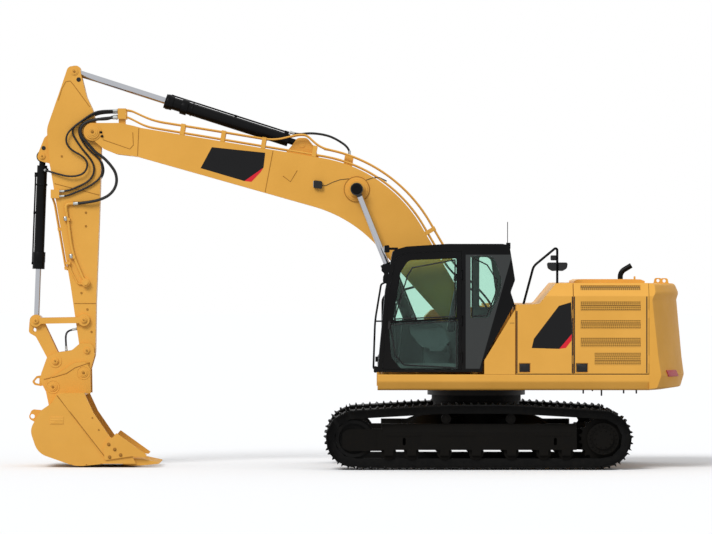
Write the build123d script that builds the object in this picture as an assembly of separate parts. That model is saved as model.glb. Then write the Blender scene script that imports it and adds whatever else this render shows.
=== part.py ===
"""Crawler excavator with a short undercarriage, a cab on its left and a bucket on a coupler.

The model is drawn about the swing axis (X = 0) with the front at -X, the left side at -Y
and the ground at Z = 0. Every piece is then moved along X by FRAME_X, so that the
frame's origin lies on the ground below the middle of the whole machine.
"""
from build123d import *
from math import asin, atan2, cos, hypot, pi, radians, sin, tan
import os

# Undercarriage
TRACK_GAUGE = 2380          # between the middles of the two tracks
AXLE_SPACING = 3280         # idler to sprocket
SHOE_WIDTH = 600
SHOE_COUNT = 45
SHOE_THICKNESS = 12
SHOE_GAP = 4                # between two shoes on the straight run
GROUSER_HEIGHT = 26
GROUSER_WIDTH = 14
PITCH_RADIUS = 311          # of the chain's pin line round idler and sprocket
PITCH_HEIGHT = 94           # of that pin line above the ground
CHAIN_DEPTH = 145           # ground to the running face of the chain
RAIL_INNER = 55             # half width between the chain's two rails
RAIL_OUTER = 105            # half width over the chain's two rails
TOP_RUN_HEIGHT = 880        # grouser tips over the carrier rollers
CARRIER_X = (-426, 426)
CARRIER_RADIUS = 65
ROLLER_X = (-1181, -882, -448, -28, 434, 860, 1154)
ROLLER_RADIUS = 80
ROLLER_FLANGE = 98
ROLLER_HALF = 107
SEAT_GAP = 0.3              # between curved or moving faces that seat on each other

FRAME_FRONT = -1273         # track frame beam
FRAME_REAR = 1293
FRAME_HALF = 165
FRAME_BOTTOM = 259
FRAME_SHOULDER = 491
FRAME_TOP = 600
FRAME_TOP_HALF = 90
FRAME_WALL = 14
GUARD_INNER = 124           # idler guard plates
SPROCKET_TEETH = 21
HUB_RADIUS = 208
HUB_CAP_RADIUS = 136
HUB_INNER = 140
MOTOR_INNER = HUB_INNER + SEAT_GAP

# Swing bearing
BEARING_RADIUS = 598
BEARING_BORE = 500
BEARING_BOTTOM = 880
BEARING_SPLIT = 958
SWING_RING_RADIUS = 655

# House
HOUSE_HALF = 1400
DECK_BOTTOM = 1045
DECK_TOP = 1085
SKIRT_BOTTOM = 1067
SKIRT_TOP = 1254
SKIRT_DEPTH = 110
HOUSE_FRONT = -1330
TAIL_RADIUS = 2781
WEIGHT_FLANK = 159          # straight flank of the tail weight, before its round back
HOUSE_REAR = (TAIL_RADIUS ** 2 - HOUSE_HALF ** 2) ** 0.5 - WEIGHT_FLANK
PANEL = 40                  # thickness of doors and body panels
PANEL_GAP = 11              # round doors and hood
BULKHEAD_X = 485
DOOR_SPLIT_X = 1246
BEVEL_HEIGHT = 2288
BEVEL_DEPTH = 110
HOOD_TOP = 2504
ROOF_TOP = 2454
TANK_INNER = 490            # inner faces of the two tanks
ROOF_THICKNESS = 30
HOOD_HALF = 865
HOOD_HINGE_RISE = 8         # hinge pin above the roof
HOOD_FRONT = 1280
HOOD_REAR = HOUSE_REAR - 29
DOOR_TOP = 2457
ROOF_CORNERS = [(BULKHEAD_X, 2172), (800, 2180, 60), (1020, ROOF_TOP, 40)]  # slope up to the roof
HINGE_RADIUS = 5            # knuckles of the side doors, inside the gap between two panels
WEIGHT_BOTTOM = 1040
WEIGHT_TOP = 2450

# Pins, as (X, Z)
BOOM_FOOT = (-100, 1830)
BOOM_NOSE = (-5140, 4477)
BOOM_EYE = (-1604, 3709)        # boom cylinder rods on the boom
BOOM_CYL_FOOT = (-621, 1271)
STICK_CYL_FOOT = (-2337, 4308)
STICK_EYE = (-5385, 5285)       # stick cylinder rod on the stick
BUCKET_CYL_FOOT = (-5818, 4150)
IDLER_PIN = (-5255, 1958)
BUCKET_PIN = (-5214, 1548)
LINK_PIN = (-5899, 1947)        # idler links, power link and bucket cylinder rod
COUPLER_PIN = (-5637, 1408)
HOOK_PIN = (-5257, 1253)        # coupler to bucket, front
LATCH_PIN = (-5666, 1065)       # coupler to bucket, rear

# Widths across the arm, as distances from the middle plane
STICK_HALF = 150
STICK_BOSS_HALF = 165
BOOM_HALF = 215
NOSE_INNER = 172
NOSE_OUTER = 225
GIRDER_INNER = 222
GIRDER_OUTER = 262
BOOM_CYL_Y = 345
BOOM_CYL_FOOT_HALF = 75
BOOM_CYL_EYE_HALF = 55
BOOM_CYL_EAR = 425
EAR_INNER = 58
ROD_EYE_HALF = 45
LINK_INNER = 51
LINK_OUTER = 165
IDLER_INNER = 172
IDLER_OUTER = 202
COUPLER_INNER = 156
COUPLER_OUTER = 196
BUCKET_EAR_INNER = 204
BUCKET_EAR_OUTER = 250
BUCKET_HALF = 600

# Lifting eyes
LINK_EYE = (-5921, 1826)
LINK_EYE_RADIUS = 28
BUCKET_EYE = (-5953, 665)
BUCKET_EYE_RADIUS = 30
BUCKET_EYE_WIDTH = 40

# Cylinders: barrel and rod radii and the barrel's length from its pin
BOOM_BARREL_RADIUS = 72
BOOM_BARREL_LENGTH = 1560
BOOM_ROD_RADIUS = 40
STICK_BARREL_RADIUS = 84
STICK_BARREL_LENGTH = 1927
STICK_ROD_RADIUS = 45
BUCKET_BARREL_RADIUS = 68
BUCKET_BARREL_LENGTH = 1510
BUCKET_ROD_RADIUS = 38
BARREL_WALL = 14
PIN_RADIUS = 42

# Cab
CAB_LEFT = -HOUSE_HALF
CAB_RIGHT = -470
CAB_WALL = 60
CAB_BOTTOM = 1286
DOOR_HINGE_X = -225
CAB_HINGE_RADIUS = 16
CAB_HINGE_HEIGHTS = (1480, 1960, 2560)
GLASS = 8

FRAME_X = 1615              # swing axis in the finished frame


def unit(a, b):
    """Direction from point a to point b, both (X, Z)."""
    length = hypot(b[0] - a[0], b[1] - a[1])
    return (b[0] - a[0]) / length, (b[1] - a[1]) / length


def side_face(corners):
    """A face in the plane Y = 0. A corner is (x, z), or (x, z, r) where it is rounded."""
    stops = []
    count = len(corners)
    for i, corner in enumerate(corners):
        here = corner[:2]
        radius = corner[2] if len(corner) > 2 else 0
        if radius == 0:
            stops.append((here, None, here))
            continue
        back = unit(here, corners[i - 1][:2])
        ahead = unit(here, corners[(i + 1) % count][:2])
        half = 0.5 * abs(atan2(back[0] * ahead[1] - back[1] * ahead[0],
                               back[0] * ahead[0] + back[1] * ahead[1]))
        reach = radius / tan(half)
        middle = unit((0, 0), (back[0] + ahead[0], back[1] + ahead[1]))
        depth = radius / sin(half) - radius
        start = (here[0] + back[0] * reach, here[1] + back[1] * reach)
        crest = (here[0] + middle[0] * depth, here[1] + middle[1] * depth)
        end = (here[0] + ahead[0] * reach, here[1] + ahead[1] * reach)
        stops.append((start, crest, end))
    edges = []
    for i, (start, crest, end) in enumerate(stops):
        if crest:
            edges.append(ThreePointArc((start[0], 0, start[1]), (crest[0], 0, crest[1]),
                                       (end[0], 0, end[1])))
        after = stops[(i + 1) % count][0]
        if hypot(after[0] - end[0], after[1] - end[1]) > 0.01:
            edges.append(Line((end[0], 0, end[1]), (after[0], 0, after[1])))
    return Face(Wire(edges))


def slab(corners, y_from, y_to):
    """A plate with the side outline corners between two values of Y."""
    face = Pos(0, min(y_from, y_to), 0) * side_face(corners)
    return extrude(face, amount=abs(y_to - y_from), dir=(0, 1, 0))


def plan(corners, z_from, z_to):
    """A plate with the plan outline corners (x, y) or (x, y, r) between two heights."""
    face = Rot(-90, 0, 0) * side_face([(c[0], -c[1], *c[2:]) for c in corners])
    return extrude(Pos(0, 0, z_from) * face, amount=z_to - z_from, dir=(0, 0, 1))


def across(corners, x_from, x_to):
    """A beam with the end outline corners (y, z) or (y, z, r) between two values of X."""
    face = Rot(0, 0, 90) * side_face(corners)
    return extrude(Pos(x_from, 0, 0) * face, amount=x_to - x_from, dir=(1, 0, 0))


def block(x_from, x_to, y_from, y_to, z_from, z_to):
    """A box given by its six sides."""
    return Pos(x_from, y_from, z_from) * Box(
        x_to - x_from, y_to - y_from, z_to - z_from, align=(Align.MIN, Align.MIN, Align.MIN))


def disc(pin, radius, y_from, y_to):
    """A round boss or bore along Y at pin (X, Z)."""
    return Pos(pin[0], (y_from + y_to) / 2, pin[1]) * Rot(90, 0, 0) * Cylinder(
        radius, abs(y_to - y_from))


def bar(start, end, radius):
    """A round bar between two points (x, y, z)."""
    way = Vector(*end) - Vector(*start)
    return Plane(origin=start, z_dir=way) * Cylinder(
        radius, way.length, align=(Align.CENTER, Align.CENTER, Align.MIN))


def bent_path(points, share=0.45):
    """Straight runs through points, joined by tangent arcs.

    A point (x, y, z, r) is rounded with the radius r, any other as widely as its runs allow.
    """
    nodes = [Vector(*p[:3]) for p in points]
    edges = []
    last = nodes[0]
    for i in range(1, len(nodes) - 1):
        back = (nodes[i - 1] - nodes[i])
        ahead = (nodes[i + 1] - nodes[i])
        half = radians(back.get_angle(ahead)) / 2
        if half > 0.4999 * pi:
            continue
        reach = share * min(back.length, ahead.length)
        if len(points[i]) > 3:
            reach = points[i][3] / tan(half)
        start = nodes[i] + back.normalized() * reach
        end = nodes[i] + ahead.normalized() * reach
        bisector = (back.normalized() + ahead.normalized()).normalized()
        crest = nodes[i] + bisector * (reach / cos(half) - reach * tan(half))
        edges.append(Line(last, start))
        edges.append(ThreePointArc(start, crest, end))
        last = end
    edges.append(Line(last, nodes[-1]))
    return Wire(edges)


def pipe(points, radius, share=0.45):
    """A round pipe, hose or rail along points."""
    way = Vector(*points[1][:3]) - Vector(*points[0][:3])
    section = Plane(origin=points[0], z_dir=way) * Circle(radius)
    return sweep(section, path=bent_path(points, share))


def hose(route, y, radius, y_end=None):
    """A pipe along the side view's points (X, Z), going from y to y_end over its length."""
    last = y if y_end is None else y_end
    steps = len(route) - 1
    return pipe([(p[0], y + (last - y) * i / steps, p[1]) for i, p in enumerate(route)], radius)


def mirrored(shape):
    """The same shape on the other side of the machine's middle plane."""
    return mirror(shape, about=Plane.XZ)


def both(shape):
    """The shape and its mirror image, as a list."""
    return [shape, mirrored(shape)]


def joined(shapes):
    """One solid from shapes that touch or overlap."""
    first = shapes[0]
    return first.fuse(*shapes[1:]) if len(shapes) > 1 else first


def save(name, shapes):
    """Write one node. Its solids are moved into the finished frame first."""
    if not isinstance(shapes, list):
        shapes = [shapes]
    solids = [s for shape in shapes for s in shape.solids()]
    moved = [Pos(FRAME_X, 0, 0) * s for s in solids]
    node = moved[0] if len(moved) == 1 else Compound(children=moved)
    export_step(node, f"parts/{name}.step")


# Undercarriage

def chain_stations():
    """Points of the chain's pin line, one at each joint between two shoes, in the XZ plane."""
    axle = PITCH_HEIGHT + PITCH_RADIUS
    crown = TOP_RUN_HEIGHT - PITCH_HEIGHT
    half = AXLE_SPACING / 2
    rise = crown - axle
    run = half - CARRIER_X[1]
    lift = atan2(rise, run) - asin(PITCH_RADIUS / hypot(rise, run))
    slope = (hypot(rise, run) ** 2 - PITCH_RADIUS ** 2) ** 0.5
    turn = pi - lift
    lengths = [half, PITCH_RADIUS * turn, slope, 2 * CARRIER_X[1],
               slope, PITCH_RADIUS * turn, half]
    pitch = sum(lengths) / SHOE_COUNT
    stations = []
    for i in range(SHOE_COUNT):
        s = (i + 0.5) * pitch
        leg = 0
        while s > lengths[leg]:
            s -= lengths[leg]
            leg += 1
        if leg == 0:
            stations.append((s, PITCH_HEIGHT))
        elif leg == 1:
            a = -pi / 2 + s / PITCH_RADIUS
            stations.append((half + PITCH_RADIUS * cos(a), axle + PITCH_RADIUS * sin(a)))
        elif leg == 2:
            stations.append((CARRIER_X[1] + (slope - s) * cos(lift),
                             crown - (slope - s) * sin(lift)))
        elif leg == 3:
            stations.append((CARRIER_X[1] - s, crown))
        elif leg == 4:
            stations.append((CARRIER_X[0] - s * cos(lift), crown - s * sin(lift)))
        elif leg == 5:
            a = pi / 2 + lift + s / PITCH_RADIUS
            stations.append((-half + PITCH_RADIUS * cos(a), axle + PITCH_RADIUS * sin(a)))
        else:
            stations.append((-half + s, PITCH_HEIGHT))
    return stations


def top_run_height(x):
    """Height of the chain's running face above x on the top run."""
    stations = chain_stations()
    for a, b in zip(stations, stations[1:]):
        if a[1] > axle_height() and b[0] <= x < a[0]:
            share = (x - a[0]) / (b[0] - a[0])
            return a[1] + share * (b[1] - a[1]) - (CHAIN_DEPTH - PITCH_HEIGHT)


def shoe_outline(a, b):
    """Side outline of the triple-grouser shoe on the chord from station a to station b."""
    along = unit(a, b)
    outward = (along[1], -along[0])
    length = hypot(b[0] - a[0], b[1] - a[1]) - SHOE_GAP
    under = PITCH_HEIGHT - GROUSER_HEIGHT - SHOE_THICKNESS
    face = under + SHOE_THICKNESS
    tip = face + GROUSER_HEIGHT
    half = length / 2
    w = GROUSER_WIDTH
    profile = [(-half, under), (-half, tip), (-half + 1.5 * w, face),
               (-w, face), (-w / 2, tip), (w / 2, tip), (w, face),
               (half - 1.5 * w, face), (half, tip), (half, under)]
    mid = ((a[0] + b[0]) / 2, (a[1] + b[1]) / 2)
    return [(mid[0] + along[0] * u + outward[0] * h, mid[1] + along[1] * u + outward[1] * h)
            for u, h in profile]


def offset_ring(stations, h):
    """The polygon through the stations, moved outward by h."""
    ring = []
    count = len(stations)
    for i in range(count):
        a = unit(stations[i - 1], stations[i])
        b = unit(stations[i], stations[(i + 1) % count])
        mean = unit((0, 0), (a[0] + b[0], a[1] + b[1]))
        scale = h / (mean[0] * a[0] + mean[1] * a[1])
        ring.append((stations[i][0] + mean[1] * scale, stations[i][1] - mean[0] * scale))
    return ring


def track(side):
    """One track: a loop of chain with all its shoes."""
    middle = side * TRACK_GAUGE / 2
    stations = chain_stations()
    under = PITCH_HEIGHT - GROUSER_HEIGHT - SHOE_THICKNESS
    running = PITCH_HEIGHT - CHAIN_DEPTH
    outer = side_face(offset_ring(stations, under))
    inner = side_face(offset_ring(stations, running))
    ring = (outer - inner).faces()[0]
    rails = [extrude(Pos(0, middle + y, 0) * ring, amount=RAIL_OUTER - RAIL_INNER, dir=(0, 1, 0))
             for y in (-RAIL_OUTER, RAIL_INNER)]
    shoes = [slab(shoe_outline(stations[i - 1], stations[i]),
                  middle - SHOE_WIDTH / 2, middle + SHOE_WIDTH / 2)
             for i in range(SHOE_COUNT)]
    return joined(rails + shoes)


def axle_height():
    return PITCH_HEIGHT + PITCH_RADIUS


def wheel_radius():
    """Largest radius inside the chain's running face, which lies on chords."""
    stations = chain_stations()
    length = hypot(stations[14][0] - stations[15][0], stations[14][1] - stations[15][1])
    return (PITCH_RADIUS ** 2 - (length / 2) ** 2) ** 0.5 - (CHAIN_DEPTH - PITCH_HEIGHT) - SEAT_GAP


def idler(side):
    """The front wheel, with its guide flange between the rails and its axle."""
    y = side * TRACK_GAUGE / 2
    x = -AXLE_SPACING / 2
    pin = (x, axle_height())
    tread = disc(pin, wheel_radius(), y - RAIL_OUTER, y + RAIL_OUTER)
    guide = disc(pin, wheel_radius() + 30, y - RAIL_INNER + 8, y + RAIL_INNER - 8)
    dish = disc(pin, wheel_radius() - 45, y + 60, y + RAIL_OUTER)
    dish_in = disc(pin, wheel_radius() - 45, y - RAIL_OUTER, y - 60)
    boss = disc(pin, 80, y - RAIL_OUTER, y + RAIL_OUTER)
    axle = disc(pin, 45, y - GUARD_INNER + SEAT_GAP, y + GUARD_INNER - SEAT_GAP)
    return joined([tread - dish - dish_in, guide - disc(pin, 200, y - 50, y + 50), boss, axle])


def sprocket(side):
    """The rear driving wheel: toothed ring, hub and the cover of its final drive."""
    y = side * TRACK_GAUGE / 2
    x, z = AXLE_SPACING / 2, axle_height()
    root, tip = PITCH_RADIUS - 30, PITCH_RADIUS + 6
    teeth = []
    for i in range(SPROCKET_TEETH):
        for share, radius in ((-0.30, root), (-0.12, tip), (0.12, tip), (0.30, root)):
            a = 2 * pi * (i + share) / SPROCKET_TEETH
            teeth.append((x + radius * cos(a), z + radius * sin(a)))
    ring = slab(teeth, y - 30, y + 30)
    hub = disc((x, z), HUB_RADIUS, y - side * HUB_INNER, y + side * 150)
    cap = disc((x, z), HUB_CAP_RADIUS, y + side * 150, y + side * 185)
    return joined([ring, hub, cap])


def track_frame(side):
    """Beam between idler and sprocket, open below, with the idler's guard plates."""
    y = side * TRACK_GAUGE / 2
    beam = across([(y - FRAME_HALF, FRAME_BOTTOM), (y - FRAME_HALF, FRAME_SHOULDER),
                   (y - FRAME_TOP_HALF, FRAME_TOP), (y + FRAME_TOP_HALF, FRAME_TOP),
                   (y + FRAME_HALF, FRAME_SHOULDER), (y + FRAME_HALF, FRAME_BOTTOM)],
                  FRAME_FRONT, FRAME_REAR)
    pocket = block(FRAME_FRONT - 1, FRAME_REAR + 1, y - FRAME_HALF + FRAME_WALL,
                   y + FRAME_HALF - FRAME_WALL, FRAME_BOTTOM - 1, FRAME_SHOULDER - 60)
    body = beam - pocket
    guard = [(FRAME_FRONT - 520, 290, 20), (FRAME_FRONT - 520, 490, 60), (FRAME_FRONT - 430, 533, 40),
             (FRAME_FRONT, 533), (FRAME_FRONT, 246), (FRAME_FRONT - 440, 246, 60)]
    plates = [slab(guard, y + a, y + b) for a, b in ((-150, -GUARD_INNER), (GUARD_INNER, 150))]
    ends = [block(FRAME_FRONT - 60, FRAME_FRONT, y + a, y + b, FRAME_BOTTOM, 533)
            for a, b in ((-165, -GUARD_INNER), (GUARD_INNER, 165))]
    motor = [disc((AXLE_SPACING / 2, axle_height()), 190, y - side * MOTOR_INNER, y - side * 165),
             slab([(FRAME_REAR - 20, FRAME_BOTTOM), (FRAME_REAR - 20, FRAME_SHOULDER + 40),
                   (AXLE_SPACING / 2, axle_height() + 170), (AXLE_SPACING / 2, axle_height() - 170)],
                  y - side * MOTOR_INNER, y - side * 165)]
    posts = [slab([(x - 60, FRAME_SHOULDER), (x - 40, 700, 30), (x + 40, 700, 30),
                   (x + 60, FRAME_SHOULDER)], y - side * 112, y - side * 150) for x in CARRIER_X]
    frame = joined([body] + plates + ends + motor + posts)
    outer = sorted((y + side * FRAME_HALF, y + side * (FRAME_HALF + 6)))
    for x_from, x_to in ((-1223, -762), (-517, -43), (743, 1219)):
        frame += block(x_from, x_to, *outer, FRAME_SHOULDER - 48, FRAME_SHOULDER - 2)
    for x in (-979, 1011):
        frame -= slab([(x - 20, 322, 18), (x - 20, 418, 18), (x + 20, 418, 18), (x + 20, 322, 18)],
                      y + side * (FRAME_HALF - FRAME_WALL - 5), y + side * (FRAME_HALF + 5))
    return frame


def rollers():
    """Bottom rollers with their end blocks, and the carrier rollers under the top run."""
    found = []
    base = CHAIN_DEPTH + ROLLER_RADIUS + SEAT_GAP
    for side in (-1, 1):
        y = side * TRACK_GAUGE / 2
        for x in ROLLER_X:
            pieces = [disc((x, base), ROLLER_RADIUS, y - ROLLER_HALF, y + ROLLER_HALF)]
            for s in (-1, 1):
                pieces.append(disc((x, base), ROLLER_FLANGE, y + s * ROLLER_HALF, y + s * 122))
                pieces.append(disc((x, base), 30, y + s * 122, y + s * 150))
                inner, outer = sorted((y + s * 126, y + s * FRAME_HALF))
                pieces.append(block(x - 60, x + 60, inner, outer, base - 40, FRAME_BOTTOM))
            found.append(joined(pieces))
        for x in CARRIER_X:
            top = top_run_height(x) - CARRIER_RADIUS - SEAT_GAP
            found.append(joined([disc((x, top), CARRIER_RADIUS, y - RAIL_OUTER, y + RAIL_OUTER),
                                 disc((x, top), 32, y - side * 112, y + side * 130)]))
    return found


def car_body():
    """The X-shaped middle of the undercarriage, up to the swing bearing."""
    drum = Pos(0, 0, 430) * Cylinder(
        BEARING_RADIUS - 20, BEARING_BOTTOM - 430, align=(Align.CENTER, Align.CENTER, Align.MIN))
    reach = TRACK_GAUGE / 2 - FRAME_HALF
    legs = []
    for sx in (-1, 1):
        for sy in (-1, 1):
            near = Plane(origin=(sx * 250, sy * 250, 610), x_dir=(1, 0, 0), z_dir=(0, sy, 0)) \
                * Rectangle(560, 360)
            far = Plane(origin=(sx * 760, sy * reach, 455), x_dir=(1, 0, 0), z_dir=(0, sy, 0)) \
                * Rectangle(460, 250)
            legs.append(loft([near, far]))
    return joined([drum] + legs)


def swing_bearing():
    """Lower race of the swing bearing, bolted to the car body."""
    height = BEARING_SPLIT - BEARING_BOTTOM
    return Pos(0, 0, BEARING_BOTTOM) * (
        Cylinder(BEARING_RADIUS, height, align=(Align.CENTER, Align.CENTER, Align.MIN))
        - Cylinder(BEARING_BORE, height, align=(Align.CENTER, Align.CENTER, Align.MIN)))


# House

def upper_frame():
    """Deck with the side beams, the cab's mounts and the upper bearing race."""
    race = Pos(0, 0, BEARING_SPLIT + SEAT_GAP) * (
        Cylinder(SWING_RING_RADIUS, DECK_BOTTOM - BEARING_SPLIT - SEAT_GAP,
                 align=(Align.CENTER, Align.CENTER, Align.MIN))
        - Cylinder(BEARING_BORE, DECK_BOTTOM - BEARING_SPLIT - SEAT_GAP,
                   align=(Align.CENTER, Align.CENTER, Align.MIN)))
    inner = HOUSE_HALF - SKIRT_DEPTH
    deck = plan([(-900, -460), (HOUSE_FRONT + 40, -460), (HOUSE_FRONT + 40, -inner),
                 (HOUSE_REAR, -inner), (HOUSE_REAR, inner), (HOUSE_FRONT + 40, inner),
                 (HOUSE_FRONT + 40, 460), (-900, 460)], DECK_BOTTOM, DECK_TOP)
    skirts = []
    for side in (-1, 1):
        y = side * HOUSE_HALF
        z = (SKIRT_BOTTOM + SKIRT_TOP) / 2
        skirts.append(across([(side * inner, SKIRT_BOTTOM - 22), (side * inner, SKIRT_TOP),
                              (y, SKIRT_TOP, 12), (y, z, 60), (y - side * 60, SKIRT_BOTTOM - 22, 50)],
                             HOUSE_FRONT, HOUSE_REAR))
    mounts = [Pos(x, y, DECK_TOP) * Cylinder(50, CAB_BOTTOM - SEAT_GAP - DECK_TOP,
                                             align=(Align.CENTER, Align.CENTER, Align.MIN))
              for x in (-1230, -40) for y in (CAB_LEFT + 170, CAB_RIGHT - 80)]
    return joined([deck, race] + skirts + mounts)


GIRDER_FRONT = [(-800, DECK_TOP), (-800, 1300, 60), (-700, 1430, 60)]


def boom_girders():
    """The two upright girders that carry the boom's foot, with their cross plates and pin."""
    outline = GIRDER_FRONT + [(-520, 1500, 40), (-290, 1900, 150),
                              (BOOM_FOOT[0], BOOM_FOOT[1] + 180, 150), (100, 1900, 150),
                              (420, 1450, 100), (1300, 1330, 60), (1300, DECK_TOP)]
    plates = both(slab(outline, GIRDER_INNER, GIRDER_OUTER))
    cross = [block(150, 190, -GIRDER_INNER, GIRDER_INNER, DECK_TOP, 1560),
             block(1260, 1300, -GIRDER_INNER, GIRDER_INNER, DECK_TOP, 1330)]
    foot_pin = disc(BOOM_FOOT, 55, -GIRDER_OUTER - 30, GIRDER_OUTER + 30)
    caps = both(disc(BOOM_FOOT, 95, GIRDER_OUTER, GIRDER_OUTER + 22))
    return joined(plates + cross + [foot_pin] + caps)


def cylinder_ears():
    """Outer ears and pins at the feet of the two boom cylinders."""
    ear = slab(GIRDER_FRONT + [(-520, 1430, 60), (-300, DECK_TOP)], BOOM_CYL_EAR, BOOM_CYL_EAR + 34)
    pin = disc(BOOM_CYL_FOOT, PIN_RADIUS, GIRDER_OUTER, BOOM_CYL_EAR + 40)
    return both(joined([ear, pin]))


TAIL_PROFILE = [(128, 2450, 60), (74, 2323, 80), (101, 2234, 40), (31, 1468, 200), (0, 1237, 60),
                (48, 1076, 30), (281, 1040)]     # inset from the tail radius, height, rounding


def counterweight():
    """Cast tail weight: a waisted round back between two bevelled flanks, with lifting lugs."""
    front = HOUSE_REAR + SEAT_GAP
    profile = [(0, WEIGHT_BOTTOM), (0, WEIGHT_TOP)] + [
        (TAIL_RADIUS - inset, height, *rest) for inset, height, *rest in TAIL_PROFILE]
    tail = revolve(side_face(profile), Axis.Z, 360)
    half = HOUSE_HALF
    bevel = half - BEVEL_DEPTH
    section = across([(-half, WEIGHT_BOTTOM, 20), (-half, BEVEL_HEIGHT, 30), (-bevel, WEIGHT_TOP + 5),
                      (bevel, WEIGHT_TOP + 5), (half, BEVEL_HEIGHT, 30), (half, WEIGHT_BOTTOM, 20)],
                     front, TAIL_RADIUS + 5)
    lug = slab([(2420, WEIGHT_TOP - 5), (2435, WEIGHT_TOP + 70, 30), (2525, WEIGHT_TOP + 70, 30),
                (2540, WEIGHT_TOP - 5)], 700, 740) - disc((2480, WEIGHT_TOP + 34), 22, 690, 750)
    return joined([tail & section] + both(lug))


def door_section(x_from, x_to, side, z_from, z_to):
    """A body-side panel with the bevel along its top."""
    y = side * HOUSE_HALF
    return across([(y, z_from), (y, BEVEL_HEIGHT, 30), (y - side * BEVEL_DEPTH, z_to),
                   (y - side * (BEVEL_DEPTH + PANEL), z_to),
                   (y - side * PANEL, BEVEL_HEIGHT - 12, 30), (y - side * PANEL, z_from)],
                  x_from, x_to)


def below_roof(y_from, y_to):
    """Everything under the slope behind the cab, to cut the top of the panels there."""
    first, *others = ROOF_CORNERS
    return slab([(first[0] - 90, 0), (first[0] - 90, first[1]), *others,
                 (DOOR_SPLIT_X + 60, DOOR_TOP + 3), (DOOR_SPLIT_X + 60, 0)], y_from, y_to)


def knuckles(x, y, radius, heights, length):
    """Hinge knuckles on an upright axis."""
    return [Pos(x, y, z) * Cylinder(radius, length) for z in heights]


def latch_recess(x_from, x_to, side):
    """Pocket for a door's latch plate."""
    return slab([(x_from, 1277, 12), (x_from, 1406, 12), (x_to, 1406, 12), (x_to, 1277, 12)],
                side * (HOUSE_HALF + 5), side * (HOUSE_HALF - 14))


def left_front_door():
    """Side door behind the cab, with the front corner of its top cut to the slope."""
    rear = DOOR_SPLIT_X - PANEL_GAP / 2
    door = door_section(BULKHEAD_X + PANEL_GAP, rear, -1, SKIRT_TOP + PANEL_GAP, DOOR_TOP)
    door = door & below_roof(-HOUSE_HALF - 50, -HOUSE_HALF / 2)
    door -= latch_recess(528, 685, -1)
    return joined([door] + knuckles(rear, -HOUSE_HALF, HINGE_RADIUS, (1450, 2050), 110))


VENTS = [(2091, 2213, 1343), (1854, 1967, 1343), (1615, 1736, 1343), (1379, 1539, 1527)]
VENT_REAR = HOUSE_REAR - 111
VENT_DEPTH = 22


def vent_slats(side, z_from, z_to, x_from):
    """Sloping slats across a vent's recess."""
    face = side * (HOUSE_HALF - 3)
    back = side * (HOUSE_HALF - VENT_DEPTH - 1)
    count = round((z_to - z_from) / 24)
    pitch = (z_to - z_from) / count
    return [across([(back, z_from + i * pitch + 16), (face, z_from + i * pitch + 3),
                    (face, z_from + i * pitch + 8), (back, z_from + i * pitch + 21)],
                   x_from - 1, VENT_REAR + 1) for i in range(count)]


def rear_door(side):
    """Rear side door with its slatted vents, the top one in the bevel."""
    rear = HOUSE_REAR - PANEL_GAP / 2
    door = door_section(DOOR_SPLIT_X + PANEL_GAP / 2, rear, side, SKIRT_TOP + PANEL_GAP, DOOR_TOP)
    slats = []
    for z_from, z_to, x_from in VENTS:
        door -= slab([(x_from, z_from), (x_from, z_to), (VENT_REAR, z_to), (VENT_REAR, z_from)],
                     side * (HOUSE_HALF + 5), side * (HOUSE_HALF - VENT_DEPTH))
        slats += vent_slats(side, z_from, z_to, x_from)
    lean = unit((HOUSE_HALF, BEVEL_HEIGHT), (HOUSE_HALF - BEVEL_DEPTH, DOOR_TOP))

    def on_bevel(up, inward):
        """Point of the bevel's end view, up along it and inward from its face."""
        return (side * (HOUSE_HALF + lean[0] * up - lean[1] * inward),
                BEVEL_HEIGHT + lean[1] * up + lean[0] * inward)

    door -= across([on_bevel(90, -5), on_bevel(165, -5), on_bevel(165, 12), on_bevel(90, 12)],
                   1343, VENT_REAR)
    door -= latch_recess(1277, 1442, side)
    hinges = knuckles(rear, side * HOUSE_HALF, HINGE_RADIUS, (1450, 2050), 110)
    return joined([door] + slats + hinges)


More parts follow.
